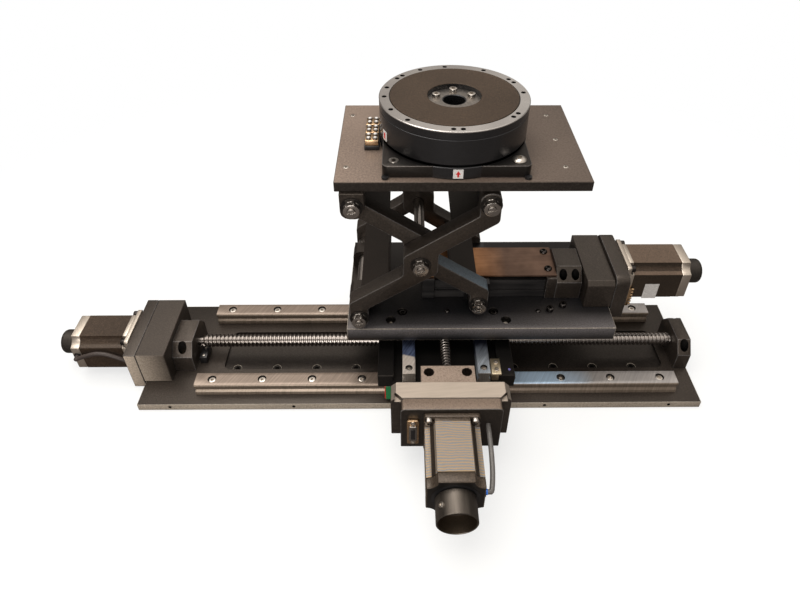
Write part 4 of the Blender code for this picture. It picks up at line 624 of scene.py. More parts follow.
# A closed prism, whose sharp edges are bevelled; bevel faces carry number 1.
def slab(outline, axis, start, end, bevel=0.0, steps=2):
    shape = bmesh.new()
    place = axes[axis]
    near, far = [[shape.verts.new(place(along, u, v)) for u, v in outline] for along in (start, end)]
    shape.faces.new(near)
    shape.faces.new(far)
    for index in range(len(outline)):
        after = (index + 1) % len(outline)
        shape.faces.new((near[index], near[after], far[after], far[index]))
    bmesh.ops.recalc_face_normals(shape, faces=shape.faces)
    if bevel:
        sharp = [edge for edge in shape.edges if edge.calc_face_angle(0) > math.radians(30)]
        made = bmesh.ops.bevel(shape, geom=sharp, offset=bevel, segments=steps, profile=0.5,
                               affect="EDGES", clamp_overlap=True)
        for face in made["faces"]:
            face.material_index = 1
    return shape


# A profile of (along, radius) turned about an axis; the rings numbered in hexagon have six sides.
def lathe(profile, axis, steps=48, hexagon=(), ring=False):
    shape = bmesh.new()
    rings = []
    for number, (along, radius) in enumerate(profile):
        if radius == 0:
            rings.append([shape.verts.new(axes[axis](along, 0, 0))] * steps)
            continue
        made = []
        for step in range(steps):
            angle = 2 * math.pi * step / steps
            reach = radius
            if number in hexagon:
                reach *= math.cos(math.pi / 6) / math.cos(angle % (math.pi / 3) - math.pi / 6)
            made.append(shape.verts.new(axes[axis](along, reach * math.cos(angle),
                                                   reach * math.sin(angle))))
        rings.append(made)
    for first, second in zip(rings, rings[1:] + (rings[:1] if ring else [])):
        for step in range(steps):
            after = (step + 1) % steps
            corners = [first[step], first[after], second[after], second[step]]
            shape.faces.new(list(dict.fromkeys(corners)))
    if not ring:
        for last in (rings[0], rings[-1]):
            if last[0] is not last[1]:
                shape.faces.new(last)
    bmesh.ops.recalc_face_normals(shape, faces=shape.faces)
    return shape


def rod(radius, axis, start, end, middle=(0, 0), steps=40):
    shape = lathe([(start, radius), (end, radius)], axis, steps)
    bmesh.ops.translate(shape, verts=shape.verts, vec=axes[axis](0, *middle))
    return shape


# A right hand thread: rows of one pitch, each sheared by a pitch a turn, with closed ends.
def threadedRod(start, end, radius, pitch, depth, steps=32):
    form = [(0.0, 0.0), (0.34, 0.0), (0.44, 0.70), (0.56, 1.0), (0.78, 1.0), (0.90, 0.70)]
    turns = int((end - start) / pitch) - 1
    count = len(form) * turns
    shape = bmesh.new()
    rows = []
    for row in range(count + 1):
        share, dip = form[row % len(form)]
        reach = radius - depth * dip
        ring = []
        for step in range(steps):
            along = start + (row // len(form) + share + step / steps) * pitch
            angle = 2 * math.pi * step / steps
            ring.append(shape.verts.new((along, reach * math.cos(angle), reach * math.sin(angle))))
        rows.append(ring)
    for first, second in zip(rows, rows[1:]):
        for step in range(steps - 1):
            shape.faces.new((first[step], first[step + 1], second[step + 1], second[step]))
    for row in range(count - len(form)):
        ahead = row + len(form)
        shape.faces.new((rows[row][-1], rows[ahead][0], rows[ahead + 1][0], rows[row + 1][-1]))
    span = len(form)
    edges = (
        (start, rows[0] + [rows[row][0] for row in range(span, 0, -1)]),
        (rows[-1][-1].co.x, rows[-1] + [rows[row][-1] for row in range(count - 1, count - span - 1, -1)]),
    )
    for along, loop in edges:
        centre = shape.verts.new((along, 0, 0))
        for one, two in zip(loop, loop[1:] + loop[:1]):
            shape.faces.new((one, two, centre))
    bmesh.ops.recalc_face_normals(shape, faces=shape.faces)
    return shape


# The profile of a shaft with steps, each (place, radius) from its place on, closed at its end.
def stepped(steps, end):
    profile = [(steps[0][0], 0)]
    for (start, radius), (after, _) in zip(steps, steps[1:] + [(end, 0)]):
        profile += [(start, radius), (after, radius)]
    return profile + [(end, 0)]


def newPiece(names=None):
    return {"points": [], "faces": [], "paints": [], "names": [] if names is None else names}


# Adds a shape to a piece at each place in one finish, with another on its bevels, and frees it.
def addShape(piece, shape, paint, places=(Matrix(),), edge=None):
    numbers = []
    for name in (paint, edge or paint):
        if name not in piece["names"]:
            piece["names"].append(name)
        numbers.append(piece["names"].index(name))
    shape.verts.index_update()
    for place in places:
        start = len(piece["points"])
        piece["points"] += [place @ vert.co for vert in shape.verts]
        for face in shape.faces:
            piece["faces"].append([start + vert.index for vert in face.verts])
            piece["paints"].append(numbers[min(face.material_index, 1)])
    shape.free()


def pieceObject(name, piece):
    mesh = bpy.data.meshes.new(name)
    mesh.from_pydata(piece["points"], [], piece["faces"])
    for paint in piece["names"]:
        mesh.materials.append(paints[paint])
    mesh.polygons.foreach_set("material_index", piece["paints"])
    return addToScene(bpy.data.objects.new(name, mesh))


# The mesh of an object cut by a piece's shapes, whose faces keep their own finish.
def carved(made, cutter):
    tool = pieceObject(made.name + "Tool", cutter)
    carve = made.modifiers.new("carve", "BOOLEAN")
    carve.operation = "DIFFERENCE"
    carve.solver = "EXACT"
    carve.object = tool
    bpy.context.view_layer.update()
    result = bpy.data.meshes.new_from_object(made.evaluated_get(bpy.context.evaluated_depsgraph_get()))
    made.modifiers.remove(carve)
    bpy.data.objects.remove(tool)
    result.name = made.name
    return result


# Links a piece that rides with a CAD node's body and stands for the nodes it replaces.
def makePiece(name, piece, on, replaced=(), cutters=(), sharp=34):
    made = pieceObject(name, piece)
    for cutter in cutters:
        made.data = carved(made, cutter)
    made.data.polygons.foreach_set("use_smooth", [True] * len(made.data.polygons))
    made.data.set_sharp_from_angle(angle=math.radians(sharp))
    if replaced:
        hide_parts(*replaced)
    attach(made, nodeBody[on])
    return made


# The matrix that stands a screw built along Z on a place, looking a way.
def facing(place, way, spin=0):
    turn = Vector(way).to_track_quat("Z", "Y").to_matrix().to_4x4()
    return Matrix.Translation(place) @ turn @ Matrix.Rotation(math.radians(spin), 4, "Z")


# The one place of a shape that is moved, for addShape.
def moved(x, y, z=0):
    return (Matrix.Translation((x, y, z)),)


# Screws' seats at one height, looking up.
def raised(places, height, spin=0):
    return [((*place, height), (0, 0, 1), spin) for place in places]


# A cylinder head with a hexagon socket, standing on its seat along Z.
def capScrew(radius, height, socket):
    lip = radius * 0.12
    floor = height * 0.45
    profile = [(0, 0), (0, radius), (height - lip, radius), (height - lip * 0.3, radius - lip * 0.3),
               (height, radius - lip), (height, socket), (floor, socket), (floor, 0)]
    return lathe(profile, "Z", 36, (5, 6))


def buttonScrew(radius, height, socket):
    profile = [(0, 0), (0, radius), (height * 0.30, radius), (height * 0.62, radius * 0.88),
               (height * 0.88, radius * 0.68), (height, radius * 0.50), (height, socket),
               (height * 0.4, socket), (height * 0.4, 0)]
    return lathe(profile, "Z", 36, (6, 7))


# Screws at (place, way) or (place, way, spin).
def addScrews(piece, paint, radius, height, socket, places, button=False):
    shape = (buttonScrew if button else capScrew)(radius, height, socket)
    addShape(piece, shape, paint, [facing(*place) for place in places])


# Motor leads

leads = {
    "x_motor_lead": {
        "drive": "X", "start": 0.3533, "paint": "sleeve",
        "route": [
            (0.0, 0.0335, 0.0005), (0.006, 0.0335, 0.0005), (0.016, 0.0336, 0.0065),
            (0.029, 0.0338, 0.0130), (0.041, 0.0340, 0.0140), (0.053, 0.0342, 0.0105),
            (0.063, 0.0338, 0.0060), (0.067, 0.0341, 0.0045), (0.067, 0.0286, 0.0045),
        ],
    },
    "y_motor_lead": {
        "drive": "Y", "start": 0.1598, "paint": "greySleeve",
        "route": [
            (0.0, 0.0380, 0.0085), (0.007, 0.0380, 0.0085), (0.021, 0.0381, 0.0080),
            (0.036, 0.0380, 0.0060), (0.051, 0.0374, 0.0030), (0.063, 0.0360, 0.0005),
            (0.069, 0.0341, -0.0005), (0.069, 0.0286, -0.0005),
        ],
    },
}
leadDiameter = 0.0052


# Points of a smooth curve through a route, straight at both ends.
def smoothRoute(route, steps):
    points = [Vector(route[0])]
    for index in range(1, len(route) - 2):
        before, start, end, after = [Vector(place) for place in route[index - 1:index + 3]]
        for step in range(steps):
            t = step / steps
            linear = end - before
            square = 2 * before - 5 * start + 4 * end - after
            cubic = 3 * start - before - 3 * end + after
            points.append(start + (linear * t + square * t**2 + cubic * t**3) / 2)
    return points + [Vector(route[-2]), Vector(route[-1])]


def makeLead(node, lead):
    matrix = drives[lead["drive"]]
    shift = Vector((lead["start"], 0, 0))
    points = [matrix @ (point + shift) for point in smoothRoute(lead["route"], 6)]
    curve = bpy.data.curves.new(node + ".sleeve", "CURVE")
    curve.dimensions = "3D"
    curve.bevel_depth = leadDiameter / 2
    curve.bevel_resolution = 6
    curve.use_fill_caps = True
    curve.materials.append(paints[lead["paint"]])
    spline = curve.splines.new("POLY")
    spline.points.add(len(points) - 1)
    for point, place in zip(spline.points, points):
        point.co = (*place, 1)
    made = addToScene(bpy.data.objects.new(node + ".sleeve", curve))
    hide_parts(node)
    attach(made, nodeBody[node])


for node, lead in leads.items():
    makeLead(node, lead)

# Screws and motors

screws = {
    "x_screw": {"drive": "X", "far": -0.3192, "near": 0.2792, "radius": 0.008, "pitch": 0.005,
                "depth": 0.0016, "coupling": 0.3052},
    "y_screw": {"drive": "Y", "far": -0.1237, "near": 0.0850, "radius": 0.006, "pitch": 0.004,
                "depth": 0.0012, "coupling": 0.1110},
    "z_screw": {"drive": "Z", "far": -0.0112, "near": 0.1210, "radius": 0.006, "pitch": 0.005,
                "depth": 0.0012, "coupling": 0.1651},
}
screwFit = {"journal": 0.005, "coupling": 0.0125, "couplingLength": 0.022, "shaft": 0.003175,
            "lap": 0.002}
motors = {
    "x_motor": {"drive": "X", "metal": "castCap", "face": "castCap", "body": "motorBlack",
                "groove": "motorBlack", "screws": "darkBolt", "lead": "x_motor_lead", "tip": "sleeve"},
    "y_motor": {"drive": "Y", "metal": "brownCap", "face": "deep", "body": "sheets",
                "groove": "groove", "screws": "nut", "lead": "y_motor_lead", "tip": "blue"},
    "z_motor": {"drive": "Z", "metal": "castCap", "face": "castCap", "body": "motorBrown",
                "groove": "motorBlack", "screws": "darkBolt"},
}
motorForm = {"plate": 0.0570, "plateCorner": 0.003, "square": 0.0566, "flat": 0.0356, "metal": 0.0564,
             "body": 0.0560, "edge": 0.0004, "backEdge": 0.0012, "plateLength": 0.0048,
             "housingLength": 0.0048, "capLength": 0.011, "screwAt": 0.02357,
             "screw": (0.0044, 0.0050, 0.0023), "seal": 0.0235, "boss": 0.0045, "tip": 0.0029}
knobs = {"x_knob": "X", "z_knob": "Z"}
knobForm = {"radius": 0.015, "length": 0.0222, "bend": 0.005, "neck": 0.010, "neckLength": 0.004,
            "edge": 0.0005}
cup = {"radius": 0.020, "length": 0.0247, "wall": 0.0016, "floor": 0.007, "hub": 0.0075,
       "hubHeight": 0.004, "backEdge": 0.0012, "rimEdge": 0.0005,
       "setScrew": (0.0028, 0.0016, 0.0012), "setScrewAt": (0.0135, -0.0143, 0.0137),
       "setScrewWay": (-0.72, 0, 0.69)}


def makeScrew(node, screw):
    place = (drives[screw["drive"]],)
    first, last = localSpan(node, screw["drive"])
    journal, coupling = screwFit["journal"], screw["coupling"]
    inThread = screw["near"] - screw["pitch"] * 2
    piece = newPiece()
    thread = threadedRod(screw["far"], screw["near"], screw["radius"], screw["pitch"], screw["depth"])
    farEnd = stepped([(first, journal)], screw["far"] + screwFit["lap"])
    nearEnd = stepped([(inThread, journal), (coupling, screwFit["coupling"]),
                       (coupling + screwFit["couplingLength"], screwFit["shaft"])], last)
    for shape in (thread, lathe(farEnd, "X"), lathe(nearEnd, "X")):
        addShape(piece, shape, "screwSteel", place)
    makePiece(node + ".thread", piece, node, (node,))


# A square with a hollow arc round each corner, where the long screws run.
def motorSection(size):
    half = size / 2
    reach = (motorForm["square"] - motorForm["flat"]) / 2
    outline = []
    for quarter in range(4):
        turn = quarter * math.pi / 2
        for step in range(13):
            angle = -math.pi / 2 - math.pi / 2 * step / 12
            u, v = half + reach * math.cos(angle), half + reach * math.sin(angle)
            outline.append((u * math.cos(turn) - v * math.sin(turn),
                            u * math.sin(turn) + v * math.cos(turn)))
    return outline


def makeMotor(node, motor):
    form, place = motorForm, drives[motor["drive"]]
    start, end = localSpan(node, motor["drive"])
    housing = start + form["plateLength"]
    body = housing + form["housingLength"]
    cap = end - form["capLength"]
    square = rounded(rectangle(form["plate"], form["plate"]), form["plateCorner"], 6)
    piece = newPiece()
    addShape(piece, slab(square, "X", start, housing, form["edge"]), motor["metal"], (place,))
    addShape(piece, slab(motorSection(form["metal"]), "X", housing, body, form["edge"]), motor["metal"],
             (place,))
    stack = slab(motorSection(form["body"]), "X", body, cap)
    for face in stack.faces:
        face.material_index = 0 if max(abs(face.normal.y), abs(face.normal.z)) > 0.85 else 1
    addShape(piece, stack, motor["body"], (place,), motor["groove"])
    back = slab(motorSection(form["metal"]), "X", cap, end, form["backEdge"], 3)
    for face in back.faces:
        face.material_index = 1 if face.normal.x > 0.99 else 0
    addShape(piece, back, motor["metal"], (place,), motor["face"])
    corners = [(u * form["screwAt"], v * form["screwAt"]) for u in (-1, 1) for v in (-1, 1)]
    seats = [place @ facing((housing, u, v), (1, 0, 0), 15) for u, v in corners]
    addShape(piece, capScrew(*form["screw"]), motor["screws"], seats)
    if motor["drive"] == "Y":
        addShape(piece, rod(form["seal"], "X", end - 0.001, end + 0.0003), "blackPlastic", (place,))
    if "lead" in motor:
        along, side, height = leads[motor["lead"]]["route"][-1]
        boss = (place @ Matrix.Translation((start + along, side - 0.0008, height)),)
        addShape(piece, rod(form["boss"], "Y", -0.004, 0.0012), "blackPlastic", boss)
        addShape(piece, rod(form["tip"], "Y", 0.0010, 0.0030), motor["tip"], boss)
    makePiece(node + ".housing", piece, node, (node,))


def makeKnob(node, drive):
    form, shaft = knobForm, screwFit["shaft"]
    radius, bend = form["radius"], form["bend"]
    first, end = localSpan(node, drive)
    start = end - form["length"]
    back = start + form["neckLength"]
    profile = stepped([(first, shaft), (start, form["neck"])], back)[:-1]
    profile += [(back, radius - form["edge"]), (back + form["edge"], radius)]
    for step in range(9):
        turn = step * math.pi / 16
        profile.append((end - bend + bend * math.sin(turn), radius - bend + bend * math.cos(turn)))
    piece = newPiece()
    addShape(piece, lathe(profile + [(end, 0)], "X", 72), "knobBlack", (drives[drive],))
    makePiece(node + ".grip", piece, node, (node,))


def makeCup():
    first, end = localSpan("y_knob", "Y")
    start, radius = end - cup["length"], cup["radius"]
    inner, floor = radius - cup["wall"], start + cup["floor"]
    backEdge, rimEdge, hubTop = cup["backEdge"], cup["rimEdge"], floor + cup["hubHeight"]
    profile = stepped([(first, screwFit["shaft"])], start)[:-1]
    profile += [(start, radius - backEdge), (start + backEdge, radius), (end - rimEdge, radius),
                (end, radius - rimEdge), (end, inner + 0.0004), (end - 0.0004, inner), (floor, inner),
                (floor, cup["hub"]), (hubTop, cup["hub"] - 0.0005), (hubTop, 0)]
    shape = lathe(profile, "X", 96)
    for face in shape.faces:
        centre = face.calc_center_median()
        away = math.hypot(centre.y, centre.z)
        inside = centre.x > floor + 0.0005 and cup["hub"] + 0.0005 < away < inner + 0.0001
        face.material_index = 1 if inside else 0
    piece = newPiece()
    addShape(piece, shape, "cupBlack", (drives["Y"],), "cupInside")
    seat = drives["Y"] @ (Vector((start, 0, 0)) + Vector(cup["setScrewAt"]))
    addScrews(piece, "bolt", *cup["setScrew"], [(seat, cup["setScrewWay"])])
    makePiece("y_knob.cup", piece, "y_knob", ("y_knob",))


for maker, group in ((makeScrew, screws), (makeMotor, motors), (makeKnob, knobs)):
    for node, settings in group.items():
        maker(node, settings)
makeCup()
print("drives made")

# Rails and their blocks

rails = {  # axis and finish, the first screw from the end, and the bores' radius and depth
    "x_rail_front": ("X", "rail", 0.020, (0.00475, 0.0055)),
    "x_rail_rear": ("X", "rail", 0.020, (0.00475, 0.0055)),
    "y_rail_left": ("Y", "crossRail", 0.0085, (0.00375, 0.0053)),
    "y_rail_right": ("Y", "coldRail", 0.0085, (0.00375, 0.0053)),
}
railPitch = 0.060
railScrew = {"head": 0.86, "height": 0.76, "socket": 0.44}  # shares of its bore
railBlock = {
    "nodes": ("x_block_front_left", "x_block_front_right", "x_block_rear_left", "x_block_rear_right"),
    "rail": (0.020, 0.0178), "clear": 0.0046, "capStep": 0.0009, "sealStep": 0.0017, "cap": 0.0095,
    "seal": 0.0012, "play": 0.0006, "corner": 0.002,
}


# Foot, waist with its ball grooves, and bevelled crown, as shares of the rail's size.
def railSection(width, height):
    half = width / 2
    right = [(half, 0), (half, height * 0.30), (half * 0.76, height * 0.42), (half * 0.76, height * 0.60),
             (half, height * 0.74), (half, height * 0.93), (half - height * 0.07, height)]
    return right + [(-u, v) for u, v in reversed(right)]


# A bore's cutter along Z, with a fine chamfer at its mouth.
def boreTool(radius, floor, top, chamfer=0.0003, past=0.001):
    return lathe([(floor, 0), (floor, radius), (top - chamfer, radius),
                  (top + past, radius + chamfer + past), (top + past, 0)], "Z", 40)


def makeRail(node, axis, paint, inset, bore):
    low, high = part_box(node)
    across = 1 if axis == "X" else 0
    start, end, side = low[1 - across], high[1 - across], boxMiddle(node)[across]
    top, (radius, depth) = high[2], bore
    section = railSection(high[across] - low[across], top - low[2])
    outline = [(side + u, low[2] + v) for u, v in section]
    piece = newPiece([paint, "deep"])
    addShape(piece, slab(outline, axis, start, end, 0.00025, 1), paint)
    cutter = newPiece(piece["names"])
    seats = []
    # the bores' walls are painted near black as painted shade
    for index in range(int((end - start - 2 * inset) / railPitch + 0.001) + 1):
        along = start + inset + railPitch * index
        middle = (along, side) if axis == "X" else (side, along)
        addShape(cutter, boreTool(radius, top - depth, top, 0.0004, 0.0006), "deep", moved(*middle))
        seats.append(((*middle, top - depth - sunk), (0, 0, 1), 17 * index))
    makePiece(node + ".ground", piece, node, (node,), (cutter,))
    heads = newPiece()
    head, height, socket = railScrew.values()
    addScrews(heads, "bolt", radius * head, depth * height, radius * socket, seats)
    makePiece(node + ".screws", heads, node)


# A block's arch over its rail, set in from its box all round.
def blockSection(side, half, foot, height, inset):
    form = railBlock
    clear, corner, play = form["clear"], form["corner"], form["play"]
    wide, high = half - inset, height - inset
    mouth = form["rail"][0] / 2 + play
    arch = [(u + math.copysign(play, u), v + (play if v > form["rail"][1] * 0.74 else 0))
            for u, v in railSection(*form["rail"]) if v > clear]
    outer = [(wide, clear), (wide, high - corner), (wide - corner, high), (corner - wide, high),
             (-wide, high - corner), (-wide, clear)]
    inner = [(-mouth, clear)] + arch[::-1] + [(mouth, clear)]
    return [(side + u, foot + v) for u, v in outer + inner]


# A rail block: steel body, green end caps set back, and a red seal on each end.
def makeBlock(node):
    form = railBlock
    low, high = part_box(node)
    cap, seal, foot = form["cap"], form["seal"], low[2] - form["clear"]
    box = ((low[1] + high[1]) / 2, (high[1] - low[1]) / 2, foot, high[2] - foot)
    # the body's steel is near black as painted shade under the saddle
    parts = [("blockSteel", 0, (low[0] + cap, high[0] - cap))]
    for end, inward in ((low[0], 1), (high[0], -1)):
        parts.append(("green", form["capStep"], sorted((end + inward * seal, end + inward * cap))))
        parts.append(("red", form["sealStep"], sorted((end, end + inward * seal))))
    piece = newPiece()
    for paint, inset, span in parts:
        addShape(piece, slab(blockSection(*box, inset), "X", *span), paint)
    makePiece(node + ".block", piece, node, (node,))


for node, settings in rails.items():
    makeRail(node, *settings)
for node in railBlock["nodes"]:
    makeBlock(node)
print("rails made")

# Plates, blocks and flanges

base = {
    "edge": 0.0006,
    "pocket": ((-0.246, -0.0295), (0.308, 0.0335)), "pocketFloor": 0.0065, "pocketRadius": 0.008,
    "bores": [-0.230 + 0.050 * index for index in range(11)], "boreRow": -0.025, "bore": 0.00525,
    "boreFloor": 0.0055, "boreThrough": 0.0033, "boreChamfer": 0.0004,
    "edgeHoles": (-0.2986, -0.1510, 0.1490, 0.2986), "edgeHole": 0.0020, "edgeHoleDepth": 0.008,
    "edgeHoleHeight": 0.0055,
}
zPlate = {  # a screw's radius, height and socket, and the places of its kind
    "edge": 0.0006, "bore": 0.0057, "boreDepth": 0.006,
    "cap": (0.0045, 0.0055, 0.0026), "capScrews": [(-0.0210, -0.0173), (0.0870, -0.0170)],
    "deep": (0.0026, 0.0010, 0.0014), "deepScrews": [(-0.0345, -0.0305), (0.1004, -0.0313)],
    "button": (0.0030, 0.0022, 0.0014), "buttonScrews": [(0.0323, -0.0167), (0.1404, -0.0173)],
}
bearings = {  # half the top, the shoulders' height, the bores' radius and places from the middle
    "x_bearing_block": {"drive": "X", "topHalf": 0.0185, "shoulder": 0.0235, "bore": 0.0052,
                        "along": (0,), "side": 0.023, "screws": "brass"},
    "x_end_block": {"drive": "X", "topHalf": 0.0185, "shoulder": 0.0235, "bore": 0.0052,
                    "along": (0,), "side": 0.023, "screws": "darkBolt"},
    "z_bearing_block": {"drive": "Z", "topHalf": 0.0167, "shoulder": 0.025, "bore": 0.00475,
                        "along": (-0.00725, 0.00725), "side": 0.02375, "screws": "darkBolt",
                        "lug": {"half": 0.030, "height": 0.0311, "length": 0.012}},
}
bearingForm = {"journal": 0.0053, "boreFloor": 0.009, "edge": 0.0006, "head": 0.84,
               "screwHeight": 0.0062, "socket": 0.42}
flanges = {  # drive, finish and the upper corners' radius
    # the Y flange's top carries a painted sheen, the X flange's front a painted reflection
    "y_motor_flange": ("Y", "flangeTop", 0.005),
    "z_motor_flange": ("Z", "black", 0.010),
    "x_motor_flange": ("X", "leftTaupe", 0),
}


def makeBase():
    low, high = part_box("base_plate")
    top, floor, chamfer = high[2], base["pocketFloor"], base["boreChamfer"]
    piece = newPiece(["frontTaupe", "paleEdge", "pocket", "deep"])
    plate = slab(spanned(low[:2], high[:2]), "Z", low[2], top, base["edge"])
    # front faces painted light as a painted reflection, bevels light as a painted highlight
    addShape(piece, plate, "frontTaupe", edge="paleEdge")
    pocket = newPiece(piece["names"])
    outline = rounded(spanned(*base["pocket"]), base["pocketRadius"])
    addShape(pocket, slab(outline, "Z", floor, top + 0.002), "pocket")
    holes = newPiece(piece["names"])
    profile = stepped([(-0.001, base["boreThrough"]), (base["boreFloor"], base["bore"])],
                      floor - chamfer)[:-1]
    profile += [(floor + chamfer, base["bore"] + 2 * chamfer), (floor + chamfer, 0)]
    # the bores' chamfered rims are painted light as a painted highlight, their walls near black as
    # painted shade
    for x in base["bores"]:
        tool = lathe(profile, "Z", 40)
        for face in tool.faces:
            face.material_index = 1 if 0.3 < abs(face.normal.z) < 0.95 else 0
        addShape(holes, tool, "deep", moved(x, base["boreRow"]), "paleEdge")
    # the edge holes' walls are painted near black as painted shade
    for x in base["edgeHoles"]:
        hole = rod(base["edgeHole"], "Y", low[1] - 0.001, low[1] + base["edgeHoleDepth"])
        addShape(holes, hole, "deep", moved(x, 0, base["edgeHoleHeight"]))
    makePiece("base_plate.pocketed", piece, "base_plate", ("base_plate",), (pocket, holes))


def makeZPlate():
    low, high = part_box("z_base_plate")
    top, floor = high[2], high[2] - zPlate["boreDepth"]
    piece = newPiece(["plateBlack", "paleEdge", "deep"])
    plate = slab(spanned(low[:2], high[:2]), "Z", low[2], top, zPlate["edge"])
    # the plate carries painted shade and a painted highlight near its front, its bevels a light painted
    # highlight
    addShape(piece, plate, "plateBlack", edge="paleEdge")
    cutter = newPiece(piece["names"])
    # the bores' walls are painted near black as painted shade
    for place in zPlate["capScrews"] + zPlate["deepScrews"]:
        addShape(cutter, boreTool(zPlate["bore"], floor, top), "deep", moved(*place))
    makePiece("z_base_plate.bored", piece, "z_base_plate", ("z_base_plate",), (cutter,))
    heads = newPiece()
    addScrews(heads, "darkBolt", *zPlate["cap"], raised(zPlate["capScrews"], floor - sunk, 10))
    addScrews(heads, "darkBolt", *zPlate["button"], raised(zPlate["buttonScrews"], top - sunk, 25), True)
    addScrews(heads, "bolt", *zPlate["deep"], raised(zPlate["deepScrews"], floor - sunk))
    makePiece("z_base_plate.screws", heads, "z_base_plate")


def shouldered(halfWidth, topHalf, shoulder, height, floor):
    right = [(halfWidth, floor), (halfWidth, floor + shoulder), (topHalf, floor + height)]
    return [(-halfWidth, floor)] + right + [(-topHalf, floor + height), (-halfWidth, floor + shoulder)]


# The cut for the screw's journal, its wall painted near black as painted shade.
def addJournal(cutter, drive, span):
    hole = rod(bearingForm["journal"], "X", span[0] - 0.001, span[1] + 0.001)
    addShape(cutter, hole, "deep", (drive,))


# An end or bearing block with its sloping shoulders, bores and the screws in them.
def makeBearing(node, bearing):
    form, drive, bore = bearingForm, drives[bearing["drive"]], bearing["bore"]
    low, high = localBox(node, bearing["drive"])
    lug = bearing.get("lug", {"length": 0})
    start, top, floor = low[0] + lug["length"], high[2], low[2] + form["boreFloor"]
    section = shouldered(high[1], bearing["topHalf"], bearing["shoulder"], top - low[2], low[2])
    middle, side = (start + high[0]) / 2, bearing["side"]
    bores = [(middle + along, way * side) for along in bearing["along"] for way in (-1, 1)]
    names = ["black", "slate", "deep"]
    piece, cutter = newPiece(names), newPiece(names)
    # the bevels take the lighter grey as a painted highlight
    addShape(piece, slab(section, "X", start, high[0], form["edge"]), "black", (drive,), "slate")
    # the bores' walls are painted near black as painted shade
    for along, side in bores:
        tool = lathe(stepped([(floor, bore)], top + 0.002), "Z", 40)
        addShape(cutter, tool, "deep", (drive @ Matrix.Translation((along, side, 0)),))
    addJournal(cutter, drive, (start, high[0]))
    makePiece(node + ".bored", piece, node, (node,), (cutter,))
    if lug["length"]:
        boss, cutter = newPiece(names), newPiece(names)
        outline = spanned((-lug["half"], low[2]), (lug["half"], low[2] + lug["height"]))
        addShape(boss, slab(outline, "X", low[0], start, 0.0005), "black", (drive,), "slate")
        addJournal(cutter, drive, (low[0], start))
        makePiece(node + ".lug", boss, node, (), (cutter,))
    heads = newPiece()
    seats = [(drive @ Vector((*place, floor - sunk)), (0, 0, 1), 8) for place in bores]
    addScrews(heads, bearing["screws"], bore * form["head"], form["screwHeight"],
              bore * form["socket"], seats)
    makePiece(node + ".screws", heads, node)


# A motor's flange, whose upper corners may be round.
def makeFlange(node, drive, paint, corner):
    low, high = localBox(node, drive)
    outline = rounded(spanned(low[1:], high[1:]), [0, 0, corner, corner])
    piece = newPiece()
    # the bevels take the lighter grey as a painted highlight
    addShape(piece, slab(outline, "X", low[0], high[0], 0.0007, 3), paint, (drives[drive],), "slate")
    makePiece(node + ".plate", piece, node, (node,))


makeBase()
makeZPlate()
for node, bearing in bearings.items():
    makeBearing(node, bearing)
for node, settings in flanges.items():
    makeFlange(node, *settings)
print("plates made")

# Scissor lift

pivots = {  # how many rises the pivot is above the lift's middle
    "lower_pivot_shaft": -1,
    "centre_shaft": 0,
    "lower_slider": -1,
    "upper_pivot_shaft": 1,
    "upper_slider": 1,
}
arms = {  # which way the arm leans, and its finish
    "arm_a_front": (1, "black"),
    "arm_a_rear": (1, "black"),
    # the front B arm carries a painted reflection on its faces that look right and up
    "arm_b_front": (-1, "armBlue"),
    "arm_b_rear": (-1, "black"),
}
liftMiddle = Vector(boxMiddle("centre_shaft"))
upperPivot = Vector(boxMiddle("upper_pivot_shaft")) - liftMiddle
liftForm = {
    "reach": -upperPivot.x, "rise": upperPivot.z, "angle": 34.3, "width": 0.018, "offset": 0.0109,
    "hub": 0.037, "tab": 0.021, "tabEnd": 0.013, "bore": 0.0063, "edge": 0.0007,
    "corners": [0.009, 0.009, 0.003, 0.008, 0.008, 0.007],
}
nutForm = {"washer": 0.0110, "washerHeight": 0.0015, "nut": 0.00866, "nutHeight": 0.0070,
           "bevel": 0.0009, "stud": 0.0046, "studHeight": 0.0018, "slot": 0.0012, "past": 0.005}


def armOutline(lean):
    form = liftForm
    slope, cosine = math.tan(math.radians(form["angle"])), math.cos(math.radians(form["angle"]))
    near, far = [(form["offset"] + side * form["width"] / 2) / cosine for side in (-1, 1)]
    inner, outer = [form["reach"] + side * form["tab"] / 2 for side in (-1, 1)]
    hub, end = form["hub"] / 2, form["rise"] + form["tabEnd"]
    half = [(outer, end), (inner, end), (inner, slope * inner + far), (-hub, far - slope * hub),
            (-hub, -near - slope * hub), (-outer, -near - slope * outer)]
    outline = rounded(half + [(-u, -v) for u, v in half], form["corners"] * 2, 12)
    return [(lean * u + liftMiddle.x, v + liftMiddle.z) for u, v in outline]


def makeArm(node, lean, paint):
    form = liftForm
    start, end = [corner[1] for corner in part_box(node)]
    piece = newPiece([paint, "slate", "deep"])
    # the bevels take the lighter grey as a painted highlight
    addShape(piece, slab(armOutline(lean), "Y", start, end, form["edge"]), paint, edge="slate")
    cutter = newPiece(piece["names"])
    # the pivot bores' walls are painted near black as painted shade
    for share in (-1, 0, 1):
        pivot = (liftMiddle.x + share * lean * form["reach"], liftMiddle.z + share * form["rise"])
        addShape(cutter, rod(form["bore"], "Y", start - 0.001, end + 0.001, pivot), "deep")
    makePiece(node + ".plate", piece, node, (node,), (cutter,))


# One side of a stud's end, which has a screwdriver slot across it.
def slottedEnd(radius, side):
    first = math.asin(nutForm["slot"] / 2 / radius)
    angles = [first + (math.pi - 2 * first) * step / 12 for step in range(13)]
    return [(radius * math.cos(angle), side * radius * math.sin(angle)) for angle in angles]


